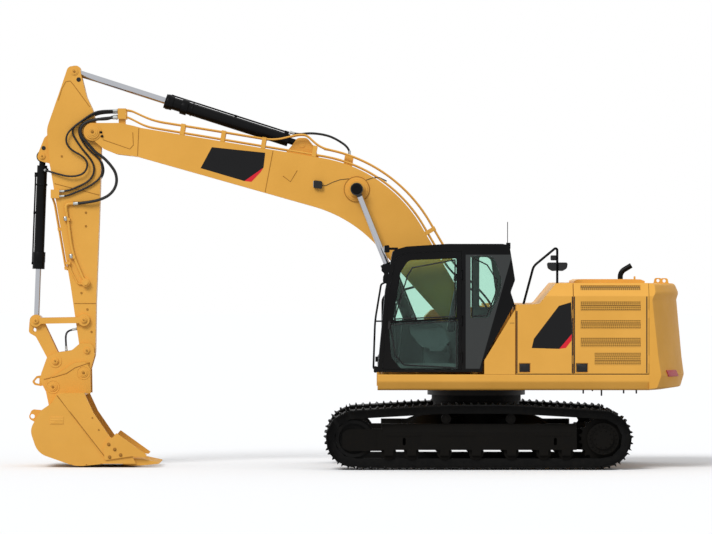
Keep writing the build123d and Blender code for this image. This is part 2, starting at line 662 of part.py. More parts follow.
def house_shell():
    """Fixed walls and roof round the engine bay."""
    inner = HOUSE_HALF - PANEL - SEAT_GAP
    flush = HOUSE_HALF - 10
    foot = ROOF_CORNERS[0]
    bulkhead = block(BULKHEAD_X, BULKHEAD_X + 30, -inner, flush, SKIRT_TOP, foot[1] - 17)
    bulkhead -= block(BULKHEAD_X - 5, BULKHEAD_X + 35, -GIRDER_OUTER - 10, GIRDER_OUTER + 10,
                      SKIRT_TOP - 5, 1480)
    top_half = HOUSE_HALF - BEVEL_DEPTH - PANEL - SEAT_GAP
    post = across([(-inner, SKIRT_TOP), (-inner, BEVEL_HEIGHT - 12, 30), (-top_half, DOOR_TOP - 3),
                   (top_half, DOOR_TOP - 3), (inner, BEVEL_HEIGHT - 12, 30), (inner, SKIRT_TOP)],
                  DOOR_SPLIT_X - 20, DOOR_SPLIT_X + 20)
    post -= block(DOOR_SPLIT_X - 30, DOOR_SPLIT_X + 30, -inner + 90, inner - 90,
                  SKIRT_TOP - 50, 2300)
    under = [(x + 12, z - ROOF_THICKNESS, *rest) for x, z, *rest in ROOF_CORNERS[:0:-1]]
    roof_half = top_half - 6
    roof = slab([(foot[0], foot[1] - ROOF_THICKNESS)] + ROOF_CORNERS + [
        (HOUSE_REAR, ROOF_TOP), (HOUSE_REAR, ROOF_TOP - ROOF_THICKNESS)] + under,
        -roof_half, roof_half)
    hatch = block(HOOD_FRONT + 10, HOOD_REAR - 15, -HOOD_HALF + 15, HOOD_HALF - 15,
                  ROOF_TOP - 154, ROOF_TOP + 146)
    wall = door_section(BULKHEAD_X, DOOR_SPLIT_X - PANEL_GAP / 2, 1, SKIRT_TOP, DOOR_TOP)
    wall = wall & below_roof(HOUSE_HALF / 2, HOUSE_HALF + 50)
    strip = block(DOOR_SPLIT_X - 20, DOOR_SPLIT_X - PANEL_GAP / 2 - 2, inner - 20, flush,
                  SKIRT_TOP + 5, BEVEL_HEIGHT - 40)
    return joined([bulkhead, post, roof - hatch, wall, strip])


def side_panel():
    """Three-cornered panel behind the cab on the left."""
    return slab([(75, SKIRT_TOP), (75, 1440, 30), (481, 2109), (481, SKIRT_TOP)],
                -HOUSE_HALF, -HOUSE_HALF + PANEL)


def engine_hood():
    """Lid over the engine, hinged at its front edge, with two ribs and a rear handle."""
    base = ROOF_TOP + SEAT_GAP
    lid = slab([(HOOD_FRONT, base), (HOOD_FRONT, HOOD_TOP - 22, 6), (HOOD_FRONT + 50, HOOD_TOP, 30),
                (HOOD_REAR - 55, HOOD_TOP, 40), (HOOD_REAR, HOOD_TOP - 22, 6), (HOOD_REAR, base)],
               -HOOD_HALF, HOOD_HALF)
    lid -= block(HOOD_FRONT + 30, HOOD_REAR - 30, -HOOD_HALF + 30, HOOD_HALF - 30,
                 base - 5, HOOD_TOP - 12)
    for y in (-HOOD_HALF + 120, 120):
        lid -= block(HOOD_FRONT + 130, HOOD_REAR - 160, y, y + HOOD_HALF - 240,
                     HOOD_TOP - 5, HOOD_TOP + 5)
    hinges = [disc((HOOD_FRONT, base + HOOD_HINGE_RISE), HOOD_HINGE_RISE - 1, y - 60, y + 60)
              for y in (-600, 600)]
    handle = pipe([(HOOD_REAR - 90, -90, HOOD_TOP - 4), (HOOD_REAR - 90, -90, HOOD_TOP + 34),
                   (HOOD_REAR - 90, 90, HOOD_TOP + 34), (HOOD_REAR - 90, 90, HOOD_TOP - 4)], 8)
    return joined([lid] + hinges + [handle])


def engine_block():
    return block(1400, HOUSE_REAR - 94, -420, 420, DECK_TOP, 1900)


def filler(x, y, top):
    """Filler neck with its cap."""
    neck = Pos(x, y, top - 5) * Cylinder(48, 35, align=(Align.CENTER, Align.CENTER, Align.MIN))
    cap = Pos(x, y, top + 30) * Cylinder(62, 26, align=(Align.CENTER, Align.CENTER, Align.MIN))
    return [neck, cap]


def fuel_tank():
    """Tank behind the tool box on the right."""
    top = 2090
    tank = slab([(-690, SKIRT_TOP), (-690, top - 100, 60), (-590, top, 80), (-160, top, 30),
                 (-160, SKIRT_TOP)], TANK_INNER, HOUSE_HALF)
    return joined([tank] + filler(-420, 1180, top))


def hydraulic_tank():
    """Oil tank between the fuel tank and the bulkhead."""
    top = 2120
    tank = slab([(-150, SKIRT_TOP), (-150, top, 40), (BULKHEAD_X - 15, top, 40),
                 (BULKHEAD_X - 15, SKIRT_TOP)], TANK_INNER, HOUSE_HALF)
    cover = Pos(160, 900, top - 5) * Cylinder(150, 30, align=(Align.CENTER, Align.CENTER, Align.MIN))
    return joined([tank, cover] + filler(160, 1220, top))


def tool_box():
    """Box with two steps at the right front, and a lamp on its nose."""
    body = slab([(HOUSE_FRONT + 10, SKIRT_TOP), (HOUSE_FRONT + 10, 1480, 40),
                 (-1010, 1480), (-1010, 1730, 40), (-700, 1730), (-700, SKIRT_TOP)],
                520, HOUSE_HALF)
    for z in (1320, 1560):
        body -= block(-1000, -760, HOUSE_HALF - 90, HOUSE_HALF + 5, z, z + 120)
    lamp = block(HOUSE_FRONT - 20, HOUSE_FRONT + 15, 880, 1000, 1380, 1450)
    return joined([body, lamp])


def exhaust_stack():
    return pipe([(1986, 1050, ROOF_TOP), (1986, 1050, 2600), (2136, 1050, 2690)], 36)


RAIL_RADIUS = 16
MIRROR_POST_X = 1041


def handrails():
    """Rail with the mirror behind the cab, and the rail at the right front."""
    y = -HOUSE_HALF + 185
    left = pipe([(596, y, 2180), (729, y, 2679), (MIRROR_POST_X, y, 2938),
                 (MIRROR_POST_X, y, ROOF_TOP + SEAT_GAP)], RAIL_RADIUS, 0.12)
    side = HOUSE_HALF - 60
    right = pipe([(-1250, side, 1480 + SEAT_GAP), (-1250, side, 2280), (-500, side, 2480),
                  (-500, side, 2090 + SEAT_GAP)], RAIL_RADIUS, 0.12)
    return [left, right]


def mirrors():
    """Two mirror heads beside the post behind the cab, and the small lamp above them."""
    reach = RAIL_RADIUS + SEAT_GAP
    heads = []
    for s in (-1, 1):
        near = MIRROR_POST_X + s * reach
        far = MIRROR_POST_X + s * 137
        heads.append(slab([(near, 2618), (near, 2728), (far, 2728, 24), (far - s * 12, 2650, 40),
                           (far - s * 70, 2614, 40)], -HOUSE_HALF + 90, -HOUSE_HALF + 280))
    lamp = slab([(953, 2755, 14), (953, 2822, 14), (MIRROR_POST_X - reach, 2822),
                 (MIRROR_POST_X - reach, 2755)], -HOUSE_HALF + 145, -HOUSE_HALF + 225)
    return heads + [lamp]


# Cab

CAB_SIDE = [(HOUSE_FRONT, CAB_BOTTOM, 20), (-1229, 2353, 300), (-1156, 2728, 60), (-1128, 2886, 60),
            (-955, 2937, 100), (-407, 2973, 300), (314, 2973, 60), (430, 2951, 40), (415, 2901, 20),
            (451, 2684, 100), (480, 2496, 60), (422, 2338, 60), (473, 2180, 60), (55, 1430, 40),
            (48, CAB_BOTTOM)]


def cab_inside():
    w = CAB_WALL
    return [(HOUSE_FRONT + w + 10, CAB_BOTTOM + w), (-1229 + w, 2353, 200), (-1128 + w + 20, 2850, 60),
            (-955, 2937 - w, 60), (-407, 2973 - w, 200), (340, 2973 - w, 80), (380, 2684, 60),
            (400, 2496, 60), (360, 2338, 60), (390, 2200, 60), (0, 1460, 40), (0, CAB_BOTTOM + w)]


DOOR_OUTLINE = [(-1270, 1318, 30), (-1178, 2353, 300), (-1090, 2790, 60), (-960, 2852, 100),
                (DOOR_HINGE_X, 2880), (DOOR_HINGE_X, 1318)]
UPPER_GLASS = [(-1128, 1963, 20), (-1027, 2597, 100), (-926, 2756, 100), (-291, 2782, 20),
               (-291, 1999, 20)]
LOWER_GLASS = [(-1185, 1927, 20), (-270, 1978, 20), (-270, 1322, 20), (-1012, 1322, 60),
               (-1150, 1480, 60)]
QUARTER_GLASS = [(-104, 2000, 20), (-104, 2814, 20), (200, 2814, 120), (300, 2500, 60),
                 (280, 2300, 60), (130, 2000, 30)]
RIGHT_GLASS = [(-1150, 1950, 60), (-1060, 2620, 100), (-940, 2780, 80), (-60, 2800, 30),
               (-60, 1950, 30)]
RIGHT_REAR_GLASS = [(29, 2136, 30), (30, 2800, 20), (180, 2800, 80), (250, 2300, 60),
                    (200, 2136, 30)]


def cab_shell():
    """Hollow cab with its window and door openings cut."""
    shell = slab(CAB_SIDE, CAB_LEFT, CAB_RIGHT)
    shell -= slab(cab_inside(), CAB_LEFT + CAB_WALL, CAB_RIGHT - CAB_WALL)
    shell -= slab(DOOR_OUTLINE, CAB_LEFT - 5, CAB_LEFT + PANEL + SEAT_GAP)
    shell -= slab([(-1180, 1400, 40), (-1110, 2353, 200), (-1040, 2740, 60), (-940, 2800, 60),
                   (-275, 2820, 20), (-275, 1400, 20)], CAB_LEFT - 5, CAB_LEFT + CAB_WALL + 5)
    shell -= slab(QUARTER_GLASS, CAB_LEFT - 5, CAB_LEFT + CAB_WALL + 5)
    for outline in (RIGHT_GLASS, RIGHT_REAR_GLASS):
        shell -= slab(outline, CAB_RIGHT - CAB_WALL - 5, CAB_RIGHT + 5)
    shell -= block(-1400, -1000, *SCREEN_WIDTH, 1420, 2780)
    shell -= block(250, 520, *REAR_WIDTH, 2330, 2800)
    shell -= block(-900, -450, *HATCH_WIDTH, 2850, 3000)
    for z in CAB_HINGE_HEIGHTS:
        shell -= Pos(DOOR_HINGE_X, CAB_LEFT, z) * Cylinder(CAB_HINGE_RADIUS + 5, 130)
    return shell


SCREEN_WIDTH = (CAB_LEFT + 110, CAB_RIGHT - 110)
REAR_WIDTH = (CAB_LEFT + 150, CAB_RIGHT - 150)
HATCH_WIDTH = (CAB_LEFT + 200, CAB_RIGHT - 200)


def pane(front, opening):
    """A bent pane whose outer face follows the points front, set in an opening across the cab."""
    back = [(x + GLASS, z, *rest) for x, z, *rest in front[::-1]]
    return slab(front + back, opening[0] + SEAT_GAP, opening[1] - SEAT_GAP)


def cab_windows():
    """Fixed panes: quarter light, right side, windscreen, rear and roof."""
    quarter = slab(QUARTER_GLASS, CAB_LEFT + 10, CAB_LEFT + 10 + GLASS)
    right = [slab(outline, CAB_RIGHT - 10 - GLASS, CAB_RIGHT - 10)
             for outline in (RIGHT_GLASS, RIGHT_REAR_GLASS)]
    screen = pane([(-1302, 1420 + SEAT_GAP), (-1214, 2353, 285), (-1132, 2780 - SEAT_GAP)],
                  SCREEN_WIDTH)
    rear = pane([(400, 2330 + SEAT_GAP), (444, 2496, 60), (418, 2684, 60),
                 (400, 2800 - SEAT_GAP)], REAR_WIDTH)
    roof = slab([(-900 + SEAT_GAP, 2917), (-900 + SEAT_GAP, 2917 + GLASS),
                 (-450 - SEAT_GAP, 2946 + GLASS), (-450 - SEAT_GAP, 2946)],
                HATCH_WIDTH[0] + SEAT_GAP, HATCH_WIDTH[1] - SEAT_GAP)
    return [quarter, screen, rear, roof] + right


def cab_door():
    """Door frame with two openings for its panes, hinged at its rear edge."""
    rear = DOOR_HINGE_X - 4
    door = slab([(-1266, 1322, 30), (-1174, 2353, 300), (-1086, 2787, 60), (-960, 2848, 100),
                 (rear, 2876), (rear, 1322)], CAB_LEFT, CAB_LEFT + PANEL)
    door -= slab(UPPER_GLASS, CAB_LEFT - 5, CAB_LEFT + PANEL + 5)
    door -= slab(LOWER_GLASS, CAB_LEFT - 5, CAB_LEFT + PANEL + 5)
    return joined([door] + knuckles(DOOR_HINGE_X, CAB_LEFT, CAB_HINGE_RADIUS,
                                    CAB_HINGE_HEIGHTS, 110))


def cab_door_glass():
    """The door's upper and lower pane."""
    return [slab(outline, CAB_LEFT + 12, CAB_LEFT + 12 + GLASS)
            for outline in (UPPER_GLASS, LOWER_GLASS)]


def cab_door_handle():
    """Grip on the door's front frame."""
    grip = slab([(-1196, 1850, 12), (-1188, 1960, 12), (-1160, 1960, 12), (-1166, 1850, 12)],
                CAB_LEFT - 38, CAB_LEFT - 20)
    feet = [block(-1186, -1170, CAB_LEFT - 25, CAB_LEFT, z, z + 16) for z in (1862, 1930)]
    return joined([grip] + feet)


SEAT_MIDDLE = (CAB_LEFT + CAB_RIGHT) / 2
SEAT_BASE_TOP = 1640


def seat():
    """Operator's seat: cushion, tall back and head rest on a suspension box."""
    y = SEAT_MIDDLE
    box = block(-700, -400, y - 150, y + 150, SEAT_BASE_TOP, 1765)
    cushion = slab([(-860, 1750, 40), (-845, 1850, 40), (-420, 1830, 30), (-400, 1730, 40)],
                   y - 255, y + 255)
    back = slab([(-440, 1790, 40), (-330, 2420, 35), (-240, 2420, 35), (-300, 1770, 40)],
                y - 245, y + 245)
    posts = [block(-300, -280, y + s * 70 - 8, y + s * 70 + 8, 2390, 2500) for s in (-1, 1)]
    head = slab([(-345, 2450, 25), (-325, 2610, 28), (-255, 2610, 28), (-265, 2450, 20)],
                y - 125, y + 125)
    return joined([box, cushion, back, head] + posts)


def controls():
    """Seat base, side consoles with joysticks, travel pedals and levers, and the monitor."""
    y = SEAT_MIDDLE
    floor = CAB_BOTTOM + CAB_WALL
    pieces = [block(-720, -380, y - 155, y + 155, floor, SEAT_BASE_TOP),
              block(-640, -480, y - 350, y + 350, 1560, SEAT_BASE_TOP)]
    for s in (-1, 1):
        console = [(-900, 1800, 30), (-900, 1900, 30), (-480, 1900, 30), (-380, 1700, 30),
                   (-480, 1560, 30), (-760, 1620, 40)]
        pieces.append(slab(console, y + s * 275, y + s * 350))
        pieces.append(bar((-830, y + s * 312, 1890), (-850, y + s * 312, 2000), 14))
        pieces.append(Pos(-856, y + s * 312, 2010) * Sphere(30))
    travel = []
    for s in (-1, 1):
        lever_y = y + s * 55
        travel.append(joined([slab([(-1120, floor), (-1060, floor + 90, 10), (-1030, floor + 80, 10),
                                    (-1060, floor)], lever_y - 40, lever_y + 40),
                              bar((-1050, lever_y, floor + 70), (-990, lever_y, floor + 640), 11)]))
    monitor = joined([block(-1100, -1040, y + 300, y + 360, floor, floor + 12),
                      bar((-1070, y + 330, floor + 6), (-1100, y + 330, floor + 660), 16),
                      slab([(-1125, 2000, 15), (-1105, 2190, 15), (-1065, 2190, 15),
                            (-1085, 2000, 15)], y + 240, y + 390)])
    return [joined(pieces), monitor] + travel


def cab_fittings():
    """Grab rail, mirror, lamps and aerial on the outside of the cab."""
    y = CAB_LEFT + 30
    cab = slab(CAB_SIDE, CAB_LEFT, CAB_RIGHT)
    rail = pipe([(-1180, y, 2490), (-1283, y, 2440), (-1362, y, 1963), (-1384, y, 1340),
                 (-1325, y, 1305)], 13, 0.2)
    parts = [rail, block(-1362, -1250, y - 8, y + 8, 1945, 1965),
             slab([(-1380, 1270, 20), (-1380, 1370, 20), (-1310, 1350), (-1310, 1290)],
                  CAB_LEFT + 5, CAB_LEFT + 90),
             slab([(-1281, 2600, 30), (-1270, 2710, 30), (-1150, 2700), (-1150, 2590, 20)],
                  CAB_LEFT + 5, CAB_LEFT + 110),
             slab([(-1262, 2450, 40), (-1255, 2575, 40), (-1170, 2575), (-1170, 2450)],
                  CAB_LEFT + 10, CAB_LEFT + 100),
             block(-1245, -1225, CAB_LEFT + 40, CAB_LEFT + 60, 2560, 2610)]
    lamps = []
    for lamp_y in (CAB_LEFT + 120, CAB_RIGHT - 120):
        lamps.append(joined([
            slab([(-1239, 2862, 15), (-1239, 2952, 15), (-1175, 2958, 15), (-1168, 2858, 15)],
                 lamp_y - 55, lamp_y + 55),
            block(-1190, -1060, lamp_y - 15, lamp_y + 15, 2895, 2925)]) - cab)
    aerial = bar((394, SEAT_MIDDLE, 2940), (394, SEAT_MIDDLE, 3265), 5) - cab
    beacon = block(380, 436, SEAT_MIDDLE + 100, SEAT_MIDDLE + 220, 2925, 2990) - cab
    return [joined(parts) - cab, aerial, beacon] + lamps


# Boom, stick and bucket

BOOM_OUTLINE = [(-5178, 4596, 30), (-4771, 4596, 150), (-4585, 4556, 150), (-4482, 4528, 150),
                (-1184, 3980, 1900), (45, 1870, 130), (-60, 1672, 120), (-190, 1677, 100),
                (-1670, 3333, 1800), (-4542, 4146, 300), (-4821, 4180, 200), (-4991, 4248, 150),
                (-5127, 4366, 60), (-5262, 4440, 60)]
STICK_OUTLINE = [(-5470, 5352, 70), (-5312, 5372, 60), (-5296, 5250, 60), (-5220, 4944, 200),
                 (-5135, 4765, 200), (-5025, 4265, 300), (-5045, 3519, 800), (-5095, 2172, 600),
                 (-5104, 1500, 100), (-5170, 1434, 50), (-5270, 1434, 80), (-5310, 1560, 100),
                 (-5434, 2415, 600), (-5652, 3671, 400), (-5700, 3959, 150), (-5725, 4180, 200),
                 (-5755, 4519, 300), (-5560, 5085, 300)]
FORK_END = -4640
STICK_SLOT = 5050


def boom():
    """Curved box boom with its nose fork, foot, cylinder bosses and brackets."""
    body = slab(BOOM_OUTLINE, -BOOM_HALF, BOOM_HALF)
    body -= slab([(-5400, 5000), (FORK_END, 5000), (FORK_END, 3900), (-5400, 3900)],
                 -NOSE_INNER, NOSE_INNER)
    body -= disc(BOOM_FOOT, 55 + SEAT_GAP, -BOOM_HALF - 5, BOOM_HALF + 5)
    pieces = [body]
    pieces += both(disc(BOOM_NOSE, 118, NOSE_INNER, NOSE_OUTER))
    pieces += both(disc(BOOM_NOSE, 90, NOSE_OUTER, NOSE_OUTER + 18))
    pieces.append(disc(BOOM_NOSE, 60, -NOSE_OUTER, NOSE_OUTER))
    pieces += both(disc(BOOM_EYE, 170, BOOM_HALF, BOOM_HALF + 12))
    pieces += both(disc(BOOM_EYE, 106, BOOM_HALF, BOOM_CYL_Y - BOOM_CYL_EYE_HALF - 6))
    bracket = [(-2580, 4170), (-2470, 4300, 60), (-2400, 4400, 70), (-2270, 4400, 70),
               (-2180, 4290, 60), (-2090, 4090)]
    pieces += both(slab(bracket, EAR_INNER, EAR_INNER + 34))
    pieces.append(disc(STICK_CYL_FOOT, PIN_RADIUS, -EAR_INNER - 40, EAR_INNER + 40))
    return joined(pieces)


def stick():
    """Box stick with its top ears, bucket cylinder ears and pin bosses."""
    body = slab(STICK_OUTLINE, -STICK_HALF, STICK_HALF)
    body -= block(-5700, -5100, -EAR_INNER, EAR_INNER, STICK_SLOT, STICK_SLOT + 450)
    ear = [(-5700, 4480), (-5790, 4400, 60), (-5856, 4235, 60), (-5900, 4110, 60), (-5790, 4072, 50),
           (-5722, 4060, 20), (-5690, 3900), (-5650, 3900), (-5650, 4480)]
    pieces = [body]
    pieces += both(slab(ear, EAR_INNER - 2, EAR_INNER + 38))
    pieces.append(disc(BUCKET_CYL_FOOT, PIN_RADIUS, -EAR_INNER - 45, EAR_INNER + 45))
    pieces += both(disc(BOOM_NOSE, 105, STICK_HALF, STICK_BOSS_HALF))
    pieces += both(disc(IDLER_PIN, 84, STICK_HALF, IDLER_INNER - 4))
    pieces.append(disc(IDLER_PIN, PIN_RADIUS, -IDLER_OUTER - 14, IDLER_OUTER + 14))
    stick_body = joined(pieces)
    stick_body -= disc(BOOM_NOSE, 60 + SEAT_GAP, -STICK_BOSS_HALF - 5, STICK_BOSS_HALF + 5)
    stick_body -= disc(BUCKET_PIN, PIN_RADIUS + SEAT_GAP, -STICK_HALF - 5, STICK_HALF + 5)
    return stick_body


def along(base, eye, y):
    """Plane with its origin at base and its normal towards eye, both (X, Z) pins."""
    way = unit(base, eye)
    return Plane(origin=(base[0], y, base[1]), x_dir=(0, 1, 0), z_dir=(way[0], 0, way[1]))


def tube(radius, start, end, bore=0):
    """A cylinder along Z between two distances, with an optional bore."""
    body = Pos(0, 0, start) * Cylinder(
        radius, end - start, align=(Align.CENTER, Align.CENTER, Align.MIN))
    if bore:
        body -= Pos(0, 0, start) * Cylinder(
            bore, end - start, align=(Align.CENTER, Align.CENTER, Align.MIN))
    return body


def feed_pipe(radius, length, x, port_half):
    """Pieces along a barrel: port block near its foot, pipe to its head, and two clamps."""
    out = radius + 16
    port = Pos(0, -(radius + 3), 245) * Box(2 * port_half, 54, 60)
    run = Pos(x, -out, 245) * Cylinder(11, length - 325,
                                       align=(Align.CENTER, Align.CENTER, Align.MIN))
    clamps = [Pos(x, -(radius + 6), z) * Box(44, 44, 34) for z in (length / 2, length - 75)]
    return [port, run] + clamps


def barrel(base, eye, y, radius, length, rod_radius, foot_half, neck, pipe_x=0, port_half=30,
           extra=()):
    """Cylinder barrel from its foot eye to its head, bored for the piston, with its pipe."""
    inner = radius - BARREL_WALL
    head = 110
    body = joined([tube(min(foot_half, radius) - 8, 30, neck), tube(radius, neck, length - head),
                   tube(radius + 14, length - head, length)]
                  + feed_pipe(radius, length, pipe_x, port_half) + list(extra))
    body -= tube(inner, neck + 14, length - head)
    body -= tube(rod_radius + SEAT_GAP, length - head - 1, length + 1)
    body = along(base, eye, y) * body
    foot = disc(base, PIN_RADIUS + 38, y - foot_half, y + foot_half)
    whole = joined([body, foot])
    return whole - disc(base, PIN_RADIUS + SEAT_GAP, y - foot_half - 5, y + foot_half + 5)


def rod(base, eye, y, bore, rod_length, rod_radius, eye_half, cap=0):
    """Piston, rod and rod eye with the ends of its own pin."""
    reach = hypot(eye[0] - base[0], eye[1] - base[1])
    body = along(base, eye, y) * joined([tube(bore - SEAT_GAP, reach - rod_length,
                                              reach - rod_length + 60),
                                         tube(rod_radius, reach - rod_length, reach - 40)])
    ring = disc(eye, PIN_RADIUS + 42, y - eye_half, y + eye_half)
    pieces = [body, ring]
    if cap:
        pieces.append(disc(eye, PIN_RADIUS + 24, y - eye_half - cap, y + eye_half + cap))
    return joined(pieces)


def boom_cylinders():
    """Barrels and rods of the two boom cylinders."""
    barrels, rods = [], []
    for y in (-BOOM_CYL_Y, BOOM_CYL_Y):
        barrels.append(barrel(BOOM_CYL_FOOT, BOOM_EYE, y, BOOM_BARREL_RADIUS, BOOM_BARREL_LENGTH,
                              BOOM_ROD_RADIUS, BOOM_CYL_FOOT_HALF, 110))
        rods.append(rod(BOOM_CYL_FOOT, BOOM_EYE, y, BOOM_BARREL_RADIUS - BARREL_WALL, 1600,
                        BOOM_ROD_RADIUS, BOOM_CYL_EYE_HALF))
    return barrels, rods


def idler_links():
    """Two flat links from the stick to the linkage joint."""
    way = unit(IDLER_PIN, LINK_PIN)
    bar_half = 40
    side = (way[1] * bar_half, -way[0] * bar_half)
    strip = [(IDLER_PIN[0] + side[0], IDLER_PIN[1] + side[1]),
             (LINK_PIN[0] + side[0], LINK_PIN[1] + side[1]),
             (LINK_PIN[0] - side[0], LINK_PIN[1] - side[1]),
             (IDLER_PIN[0] - side[0], IDLER_PIN[1] - side[1])]
    link = joined([slab(strip, IDLER_INNER, IDLER_OUTER),
                   disc(IDLER_PIN, 78, IDLER_INNER, IDLER_OUTER),
                   disc(LINK_PIN, 78, IDLER_INNER, IDLER_OUTER)])
    for pin in (IDLER_PIN, LINK_PIN):
        link -= disc(pin, PIN_RADIUS + SEAT_GAP, IDLER_INNER - 5, IDLER_OUTER + 5)
    return both(link)


def power_link():
    """Forked link from the linkage joint to the coupler, with its lifting eye."""
    arm = [(-5985, 1940, 60), (-5960, 2015, 50), (-5840, 2020, 60), (-5560, 1430, 60),
           (-5600, 1340, 60), (-5700, 1360, 60), (-5900, 1735, 60), (-5996, 1790, 50)]
    arms = both(slab(arm, 95, STICK_HALF))
    web = slab([(-5800, 1755, 30), (-5745, 1780, 20), (-5600, 1450), (-5680, 1400)], -100, 100)
    bosses = both(disc(LINK_PIN, 84, LINK_INNER, LINK_OUTER))
    pins = both(disc(LINK_PIN, PIN_RADIUS, LINK_INNER, IDLER_OUTER + 12))
    foot = disc(COUPLER_PIN, 84, -STICK_HALF, STICK_HALF)
    link = joined(arms + [web] + bosses + pins + [foot])
    return link - disc(LINK_EYE, LINK_EYE_RADIUS, -200, 200)


def coupler():
    """Quick coupler between stick, power link and bucket: two ears and a body."""
    ear = [(-5745, 1470, 80), (-5625, 1523, 60), (-5418, 1553, 100), (-5310, 1645, 80),
           (-5130, 1645, 80), (-5110, 1490, 60), (-5165, 1300, 60), (-5180, 1175, 60),
           (-5290, 1160, 60), (-5560, 985, 60), (-5750, 975, 60), (-5846, 1160, 40),
           (-5822, 1257, 60)]
    pieces = both(slab(ear, COUPLER_INNER, COUPLER_OUTER))
    pieces.append(slab([(-5800, 1165, 20), (-5600, 1165, 20), (-5400, 1220, 20), (-5330, 1180, 20),
                        (-5560, 1025, 20), (-5740, 1010, 20)], -COUPLER_INNER, COUPLER_INNER))
    pieces.append(disc(BUCKET_PIN, PIN_RADIUS, -COUPLER_OUTER - 12, COUPLER_OUTER + 12))
    pieces += both(disc(COUPLER_PIN, 84, COUPLER_INNER, COUPLER_OUTER + 8))
    pieces += both(disc(COUPLER_PIN, 46, COUPLER_OUTER, COUPLER_OUTER + 22))
    loop = slab([(-5785, 1150), (-5830, 1215, 10), (-5900, 1205, 25), (-5962, 1130, 28),
                 (-5925, 1085, 25), (-5840, 1070, 10), (-5765, 1090)], -15, 15)
    loop -= slab([(-5860, 1180, 10), (-5895, 1172, 15), (-5928, 1130, 14), (-5910, 1112, 12),
                  (-5862, 1098, 10)], -20, 20)
    whole = joined(pieces + [loop])
    for pin in (HOOK_PIN, LATCH_PIN):
        whole -= disc(pin, PIN_RADIUS + SEAT_GAP, -260, 260)
    return whole


BUCKET_OUTER = [(-5228, 991), (-5583, 985, 40), (-5660, 860, 60), (-5808, 757, 150),
                (-5955, 503, 200), (-5848, 190, 250), (-5340, 12, 500), (-4953, 50, 100),
                (-4540, 50)]
BUCKET_INNER = [(-4540, 85), (-4953, 85, 100), (-5330, 47, 450), (-5815, 215, 220),
                (-5915, 503, 170), (-5790, 725, 130), (-5625, 835, 60), (-5560, 950, 30),
                (-5228, 956)]
BUCKET_FRONT = [(-4600, 180, 60), (-4881, 400, 200), (-5105, 726, 100)]
SIDE_STRIP = 10             # thickness of the strip along the side plates' front edge


def bucket():
    """Digging bucket: rolled shell, side plates, top ears with their pins, rear loop."""
    inner_half = BUCKET_HALF - 25
    shell = slab(BUCKET_OUTER + BUCKET_INNER, -inner_half, inner_half)
    side = [slab(BUCKET_OUTER + BUCKET_FRONT, s * inner_half, s * BUCKET_HALF) for s in (-1, 1)]
    ear = [(-5160, 980), (-5165, 1300, 60), (-5225, 1400, 60), (-5380, 1385, 60), (-5730, 1160, 60),
           (-5760, 1000, 60), (-5720, 815), (-5600, 940), (-5400, 970)]
    ears = both(slab(ear, BUCKET_EAR_INNER, BUCKET_EAR_OUTER))
    pins = [disc(pin, PIN_RADIUS, -BUCKET_EAR_OUTER, BUCKET_EAR_OUTER)
            for pin in (HOOK_PIN, LATCH_PIN)]
    loop = slab([(-5800, 745), (-5960, 760, 50), (-6011, 640, 50), (-5900, 575, 30)],
                -BUCKET_EYE_WIDTH / 2, BUCKET_EYE_WIDTH / 2)
    loop -= disc(BUCKET_EYE, BUCKET_EYE_RADIUS, -BUCKET_EYE_WIDTH, BUCKET_EYE_WIDTH)
    strip = [(-5575, 951), (-4940, 84), (-4925, 50), (-4540, 50)] + BUCKET_FRONT + [
        (-5228, 991), (-5545, 986)]
    strips = both(slab(strip, BUCKET_HALF, BUCKET_HALF + SIDE_STRIP))
    whole = joined([shell] + side + ears + pins + [loop] + strips)
    for notch in ((-5848, 203), (-5750, 147), (-5582, 70), (-5401, 35), (-5198, 35), (-5003, 49)):
        whole -= disc(notch, 9, BUCKET_HALF - 12, BUCKET_HALF + 1)
        whole -= disc(notch, 9, -BUCKET_HALF - 1, -BUCKET_HALF + 12)
    return whole


def bucket_teeth():
    """Five teeth on the lip, and the two side cutters."""
    tooth = [(-4720, 88), (-4700, 105, 10), (-4560, 118, 40), (-4440, 112, 40), (-4231, 66),
             (-4231, 50), (-4440, 28, 40), (-4560, 24, 40), (-4700, 36, 10), (-4720, 48)]
    notch = [(-4800, 50 - SEAT_GAP), (-4540 + SEAT_GAP, 50 - SEAT_GAP),
             (-4540 + SEAT_GAP, 85 + SEAT_GAP), (-4800, 85 + SEAT_GAP)]
    shape = slab(tooth, -45, 45) - slab(notch, -50, 50)
    teeth = [Pos(0, y, 0) * shape for y in (-520, -260, 0, 260, 520)]
    cutter = [(-4975, 250, 40), (-4905, 385, 40), (-4850, 400, 20), (-4800, 461, 15),
              (-4394, 168), (-4420, 140), (-4600, 150, 30), (-4954, 98, 20)]
    cutters = both(slab(cutter, BUCKET_HALF + SIDE_STRIP, BUCKET_HALF + SIDE_STRIP + 22))
    return teeth + cutters


def boom_lamps():
    """Work lamps on both sides of the boom."""
    lamp = slab([(-2181, 3725, 20), (-2181, 3830, 20), (-2065, 3815, 20), (-2065, 3712, 20)],
                BOOM_HALF, BOOM_HALF + 52)
    return both(lamp)


PIPE_Y = (175, 201)         # two pipes side by side, clear of the stick's sweep
PIPE_RADIUS = 12
LOW_PIPE = 30               # heights of the two layers above the boom
HIGH_PIPE = 128
MANIFOLD = (-4800, -4690, 4650, 4790)


def above_boom(s, h):
    """Point s along the boom's straight top from its bend, h above it."""
    crest = BOOM_OUTLINE[4]
    way = unit(crest, BOOM_OUTLINE[3])
    return crest[0] + way[0] * s + way[1] * h, crest[1] + way[1] * s - way[0] * h


def behind_boom(s, h):
    """Point s down the boom's back from its bend, h outside it."""
    crest = BOOM_OUTLINE[4]
    way = unit(crest, BOOM_OUTLINE[5])
    return crest[0] + way[0] * s - way[1] * h, crest[1] + way[1] * s + way[0] * h


